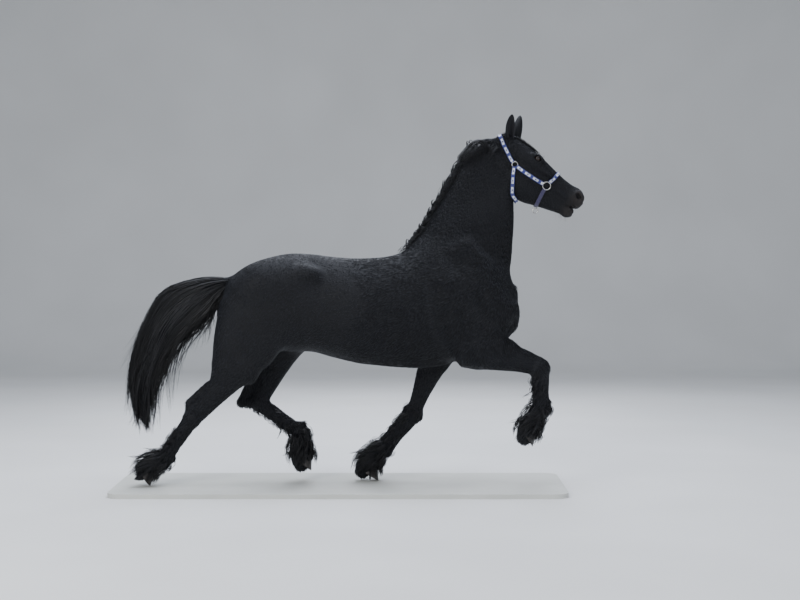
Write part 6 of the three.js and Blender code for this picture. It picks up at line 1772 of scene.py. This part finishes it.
def make_headcollar():
    look = bpy.context.scene.horse_collar
    webbing, steel = webbing_material(), steel_material()
    cheek = {side: ring_place((147, -93, side * 90), 19, 3) for side in SIDES}
    nose = {side: ring_place((402, -67, side * 70), 26, 3.2) for side in SIDES}
    under = onto(body, head_point(438, -220, 0)[None], 7.4, 6)[0]
    chin = {"centre": under - (0, 0, 23), "normal": np.array((0.0, 1.0, 0.0)), "radius": 17, "tube": 3}
    for side, word in SIDES.items():
        ring_piece(f"cheek_ring_{word}", cheek[side], steel, f"halter_cheek_ring_{word}")
        ring_piece(f"nose_ring_{word}", nose[side], steel, f"halter_nose_ring_{word}")
    ring_piece("chin_ring", chin, steel, "halter_chin_ring")
    cheeks, noses = list(cheek.values()), list(nose.values())
    clear, throat = STRAP["clearance"], STRAP["throat_clearance"]
    strap_piece("crown_strap", CROWN, cheeks, "halter_crown", webbing, clear)
    strap_piece("throat_strap", THROAT, cheeks, "halter_throat", webbing, throat)
    seams = [strap_piece("noseband", NOSEBAND, noses, "halter_noseband", webbing, clear)]
    strap_piece("chin_strap", CHIN, noses, "halter_chin", webbing, clear, plain=1.0)
    for side, word in SIDES.items():
        path, node = [(s, n, -side * y) for s, n, y in CHEEK_STRAP], f"halter_cheek_{word}"
        ends = [cheek[side], nose[side]]
        name = f"cheek_strap_{word}"
        seams.append(strap_piece(name, path, ends, node, webbing, clear, mirrored=False, rows=50))
    points, edges = [], []
    for line, across, normals in seams:
        for aside in (-0.4, 0.4):
            row = line + across * STRAP["width"] * aside + normals * (STRAP["thick"] / 2 + 0.2)
            for part in (row[1:6], row[-6:-1]):
                first = len(points)
                points.extend(part)
                edges.extend((first + i, first + i + 1) for i in range(len(part) - 1))
    stitches = grown("strap_stitches", stitch_tree(), points, edges, {
        "Stitch Length": look.stitch_length, "Spacing": look.stitch_length * 1.5, "Thread": 0.0006,
        "Material": thread_material(),
    })
    settle(stitches, "webbing")


def make_whiskers():
    """Feelers on the chin, the lips and round the eyes."""
    random = np.random.default_rng(SEED + 70)
    roots, ways = [], []
    for count, s, n, y, way in (
        (46, (540, 632), (-150, -105), (-30, 30), (0.1, 0.0, -1.0)),
        (34, (585, 640), (-70, -10), (30, 46), (0.4, 0.7, -0.6)),
        (10, (215, 268), (52, 60), (88, 100), (0.2, 1.0, 0.5)),
        (8, (225, 268), (8, 14), (88, 100), (0.2, 1.0, -0.6)),
    ):
        for side in ((1,) if y[0] < 0 else (RIGHT, LEFT)):
            for _ in range(count):
                spot = head_point(random.uniform(*s), random.uniform(*n), side * random.uniform(*y))
                roots.append(spot)
                ways.append(np.array(way) * (1, side, 1) + random.normal(0, 0.22, 3))
    roots = onto(body, np.array(roots), -SKIN_DEPTH - 1, 6)
    out = spread_out(body, roots)
    ways = unit(unit(np.array(ways)) + 0.8 * out)
    feelers = grown("whiskers", whisker_tree(), roots, [], {
        "Length": 0.05, "Seed": 4, "Material": long_hair_material(),
    }, {"way": ways})
    settle(feelers, "hair")


def make_base():
    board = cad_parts["stand_base"]
    material = board_material()
    for slot in board.material_slots:
        slot.material = material


# The lamps: name, place, aim, size, power and colour.
LAMPS = [
    ("overhead", (0.0, 0.2, 6.0), (0, 0, 1.0), 6.0, 560, "#e9f0ff"),
    ("window", (-3.5, -6.0, 4.2), (0.2, 0, 1.2), 3.5, 330, "#ffffff"),
    ("fill", (5.5, -6.5, 2.6), (0.4, 0, 1.1), 4.0, 190, "#f4f6ff"),
    ("rim", (0.5, 5.5, 4.5), (0.2, 0, 1.3), 4.0, 260, "#eef3ff"),
]
CAMERA = {"place": (0.396, -10.0, 1.63), "down": 2.2, "sensor": 36.0}


def make_stage():
    look = bpy.context.scene.horse_stage
    mesh = bpy.data.meshes.new("studio_floor")
    width, near, far, wall, bend = 30.0, -14.0, 12.0, 12.0, 3.0
    turn = np.linspace(0.05, math.pi / 2, 24)
    curve = zip(far - bend + bend * np.sin(turn), bend - bend * np.cos(turn))
    profile = [(near, 0.0), (far - bend, 0.0), *curve, (far, wall)]
    verts = [(x, y, z) for y, z in profile for x in (-width / 2, width / 2)]
    faces = [(2 * i, 2 * i + 1, 2 * i + 3, 2 * i + 2) for i in range(len(profile) - 1)]
    mesh.from_pydata(verts, [], faces)
    mesh.shade_smooth()
    mesh.materials.append(floor_material())
    floor = bpy.data.objects.new("studio_floor", mesh)
    bpy.context.scene.collection.objects.link(floor)

    world = bpy.context.scene.world or bpy.data.worlds.new("studio")
    bpy.context.scene.world = world
    world.use_nodes = True
    sky = world.node_tree.nodes["Background"]
    sky.inputs["Color"].default_value = linear("#dfe6f2")
    sky.inputs["Strength"].default_value = look.ambient
    for name, place, aim, size, power, tint in LAMPS:
        light = bpy.data.lights.new(name, "AREA")
        light.shape, light.size = "DISK", size
        light.energy = power * look.light
        light.color = linear(tint)[:3]
        lamp = bpy.data.objects.new(name, light)
        lamp.location = place
        lamp.rotation_euler = (Vector(aim) - Vector(place)).to_track_quat("-Z", "Y").to_euler()
        bpy.context.scene.collection.objects.link(lamp)

    camera = bpy.data.cameras.new("camera")
    camera.sensor_width, camera.lens = CAMERA["sensor"], look.lens
    eye = bpy.data.objects.new("camera", camera)
    eye.location = CAMERA["place"]
    eye.rotation_euler = (math.radians(90 - CAMERA["down"]), 0, 0)
    bpy.context.scene.collection.objects.link(eye)
    bpy.context.scene.camera = eye


# The add-on

class HorseCoatSettings(bpy.types.PropertyGroup):
    colour: FloatVectorProperty(
        name="Coat colour", description="Colour of the short coat", subtype="COLOR", size=3,
        default=linear("#0d0e12")[:3], min=0, max=1,
    )
    density: FloatProperty(
        name="Tufts", description="Number of tufts, as a part of the full coat", default=1.0, min=0.1,
        max=1.2,
    )
    thickness: FloatProperty(
        name="Fluff", description="How far the winter coat stands off the skin, 1 as in life", default=1.0,
        min=0.2, max=2.0,
    )


class HorseHairSettings(bpy.types.PropertyGroup):
    colour: FloatVectorProperty(
        name="Hair colour", description="Colour of the mane, tail and leg hair", subtype="COLOR", size=3,
        default=linear("#0c0c0e")[:3], min=0, max=1,
    )
    mane_length: FloatProperty(
        name="Mane", description="Length of the mane's hair", default=0.44, unit="LENGTH",
        subtype="DISTANCE",
    )
    forelock_length: FloatProperty(
        name="Forelock", description="Length of the forelock", default=0.2, unit="LENGTH",
        subtype="DISTANCE",
    )
    feather_length: FloatProperty(
        name="Feather", description="Longest hair behind the fetlocks", default=0.175, unit="LENGTH",
        subtype="DISTANCE",
    )


class HorseCollarSettings(bpy.types.PropertyGroup):
    colour: FloatVectorProperty(
        name="Webbing colour", description="Colour of the woven straps", subtype="COLOR", size=3,
        default=linear("#29316f")[:3], min=0, max=1,
    )
    plain_colour: FloatVectorProperty(
        name="Chin strap colour", description="Colour of the plain strap under the chin", subtype="COLOR",
        size=3, default=linear("#2f2b4a")[:3], min=0, max=1,
    )
    block_spacing: FloatProperty(
        name="Block spacing", description="Distance from one woven block to the next", default=0.062,
        unit="LENGTH", subtype="DISTANCE",
    )
    stitch_length: FloatProperty(
        name="Stitch", description="Length of one stitch", default=0.0036, unit="LENGTH", subtype="DISTANCE",
    )


class HorseStageSettings(bpy.types.PropertyGroup):
    lens: FloatProperty(name="Lens", description="Focal length in millimetres, 36 mm frame", default=68.2)
    light: FloatProperty(name="Light", description="Strength of the studio lights", default=1.0, min=0)
    ambient: FloatProperty(name="Ambient", description="Light from all round", default=0.55, min=0)


class HORSE_OT_skin(bpy.types.Operator):
    """Makes the skin with its ears, lids and lips"""
    bl_idname = "horse.skin"
    bl_label = "Skin"

    def execute(self, context):
        make_skin()
        return {"FINISHED"}


class HORSE_OT_coat(bpy.types.Operator):
    """Covers the skin with the short winter coat"""
    bl_idname = "horse.coat"
    bl_label = "Coat"

    def execute(self, context):
        make_coat()
        return {"FINISHED"}


class HORSE_OT_mane(bpy.types.Operator):
    """Grows the mane, the tufts of the crest and the forelock"""
    bl_idname = "horse.mane"
    bl_label = "Mane and forelock"

    def execute(self, context):
        make_mane()
        return {"FINISHED"}


class HORSE_OT_tail(bpy.types.Operator):
    """Grows the tail"""
    bl_idname = "horse.tail"
    bl_label = "Tail"

    def execute(self, context):
        make_tail()
        return {"FINISHED"}


class HORSE_OT_feathers(bpy.types.Operator):
    """Grows the long hair of the lower legs"""
    bl_idname = "horse.feathers"
    bl_label = "Leg feather"

    def execute(self, context):
        make_feathers()
        return {"FINISHED"}


class HORSE_OT_hooves(bpy.types.Operator):
    """Makes the four hooves"""
    bl_idname = "horse.hooves"
    bl_label = "Hooves"

    def execute(self, context):
        make_hooves()
        return {"FINISHED"}


class HORSE_OT_eyes(bpy.types.Operator):
    """Makes the eyeballs"""
    bl_idname = "horse.eyes"
    bl_label = "Eyes"

    def execute(self, context):
        make_eyes()
        return {"FINISHED"}


class HORSE_OT_headcollar(bpy.types.Operator):
    """Makes the straps, rings and stitches of the headcollar"""
    bl_idname = "horse.headcollar"
    bl_label = "Headcollar"

    def execute(self, context):
        make_headcollar()
        return {"FINISHED"}


class HORSE_OT_whiskers(bpy.types.Operator):
    """Grows the feelers of the chin, lips and eyes"""
    bl_idname = "horse.whiskers"
    bl_label = "Whiskers"

    def execute(self, context):
        make_whiskers()
        return {"FINISHED"}


class HORSE_OT_base(bpy.types.Operator):
    """Paints the display base"""
    bl_idname = "horse.base"
    bl_label = "Display base"

    def execute(self, context):
        make_base()
        return {"FINISHED"}


class HORSE_OT_stage(bpy.types.Operator):
    """Sets the floor, the lights and the camera"""
    bl_idname = "horse.stage"
    bl_label = "Stage"

    def execute(self, context):
        make_stage()
        return {"FINISHED"}


OPERATORS = (
    HORSE_OT_stage, HORSE_OT_skin, HORSE_OT_eyes, HORSE_OT_coat, HORSE_OT_mane, HORSE_OT_tail,
    HORSE_OT_feathers, HORSE_OT_hooves, HORSE_OT_headcollar, HORSE_OT_whiskers, HORSE_OT_base,
)
SETTINGS = {
    "horse_coat": HorseCoatSettings, "horse_hair": HorseHairSettings,
    "horse_collar": HorseCollarSettings, "horse_stage": HorseStageSettings,
}


class HORSE_PT_panel(bpy.types.Panel):
    """The horse's sizes, colours and pieces"""

    bl_idname = "HORSE_PT_panel"
    bl_label = "Trotting Horse"
    bl_space_type = "VIEW_3D"
    bl_region_type = "UI"
    bl_category = "Horse"

    def draw(self, context):
        for name, group in SETTINGS.items():
            box = self.layout.box()
            for key in group.__annotations__:
                box.prop(getattr(context.scene, name), key)
        for operator in OPERATORS:
            self.layout.operator(operator.bl_idname)


def register():
    for group in SETTINGS.values():
        bpy.utils.register_class(group)
    for name, group in SETTINGS.items():
        setattr(bpy.types.Scene, name, PointerProperty(type=group))
    for operator in OPERATORS:
        bpy.utils.register_class(operator)
    bpy.utils.register_class(HORSE_PT_panel)


def unregister():
    bpy.utils.unregister_class(HORSE_PT_panel)
    for operator in reversed(OPERATORS):
        bpy.utils.unregister_class(operator)
    for name in SETTINGS:
        delattr(bpy.types.Scene, name)
    for group in SETTINGS.values():
        bpy.utils.unregister_class(group)


def main():
    register()
    bpy.ops.horse.stage()
    bpy.ops.horse.skin()
    bpy.ops.horse.eyes()
    bpy.ops.horse.coat()
    bpy.ops.horse.mane()
    bpy.ops.horse.tail()
    bpy.ops.horse.feathers()
    bpy.ops.horse.hooves()
    bpy.ops.horse.headcollar()
    bpy.ops.horse.whiskers()
    bpy.ops.horse.base()


if __name__ == "__main__":
    main()
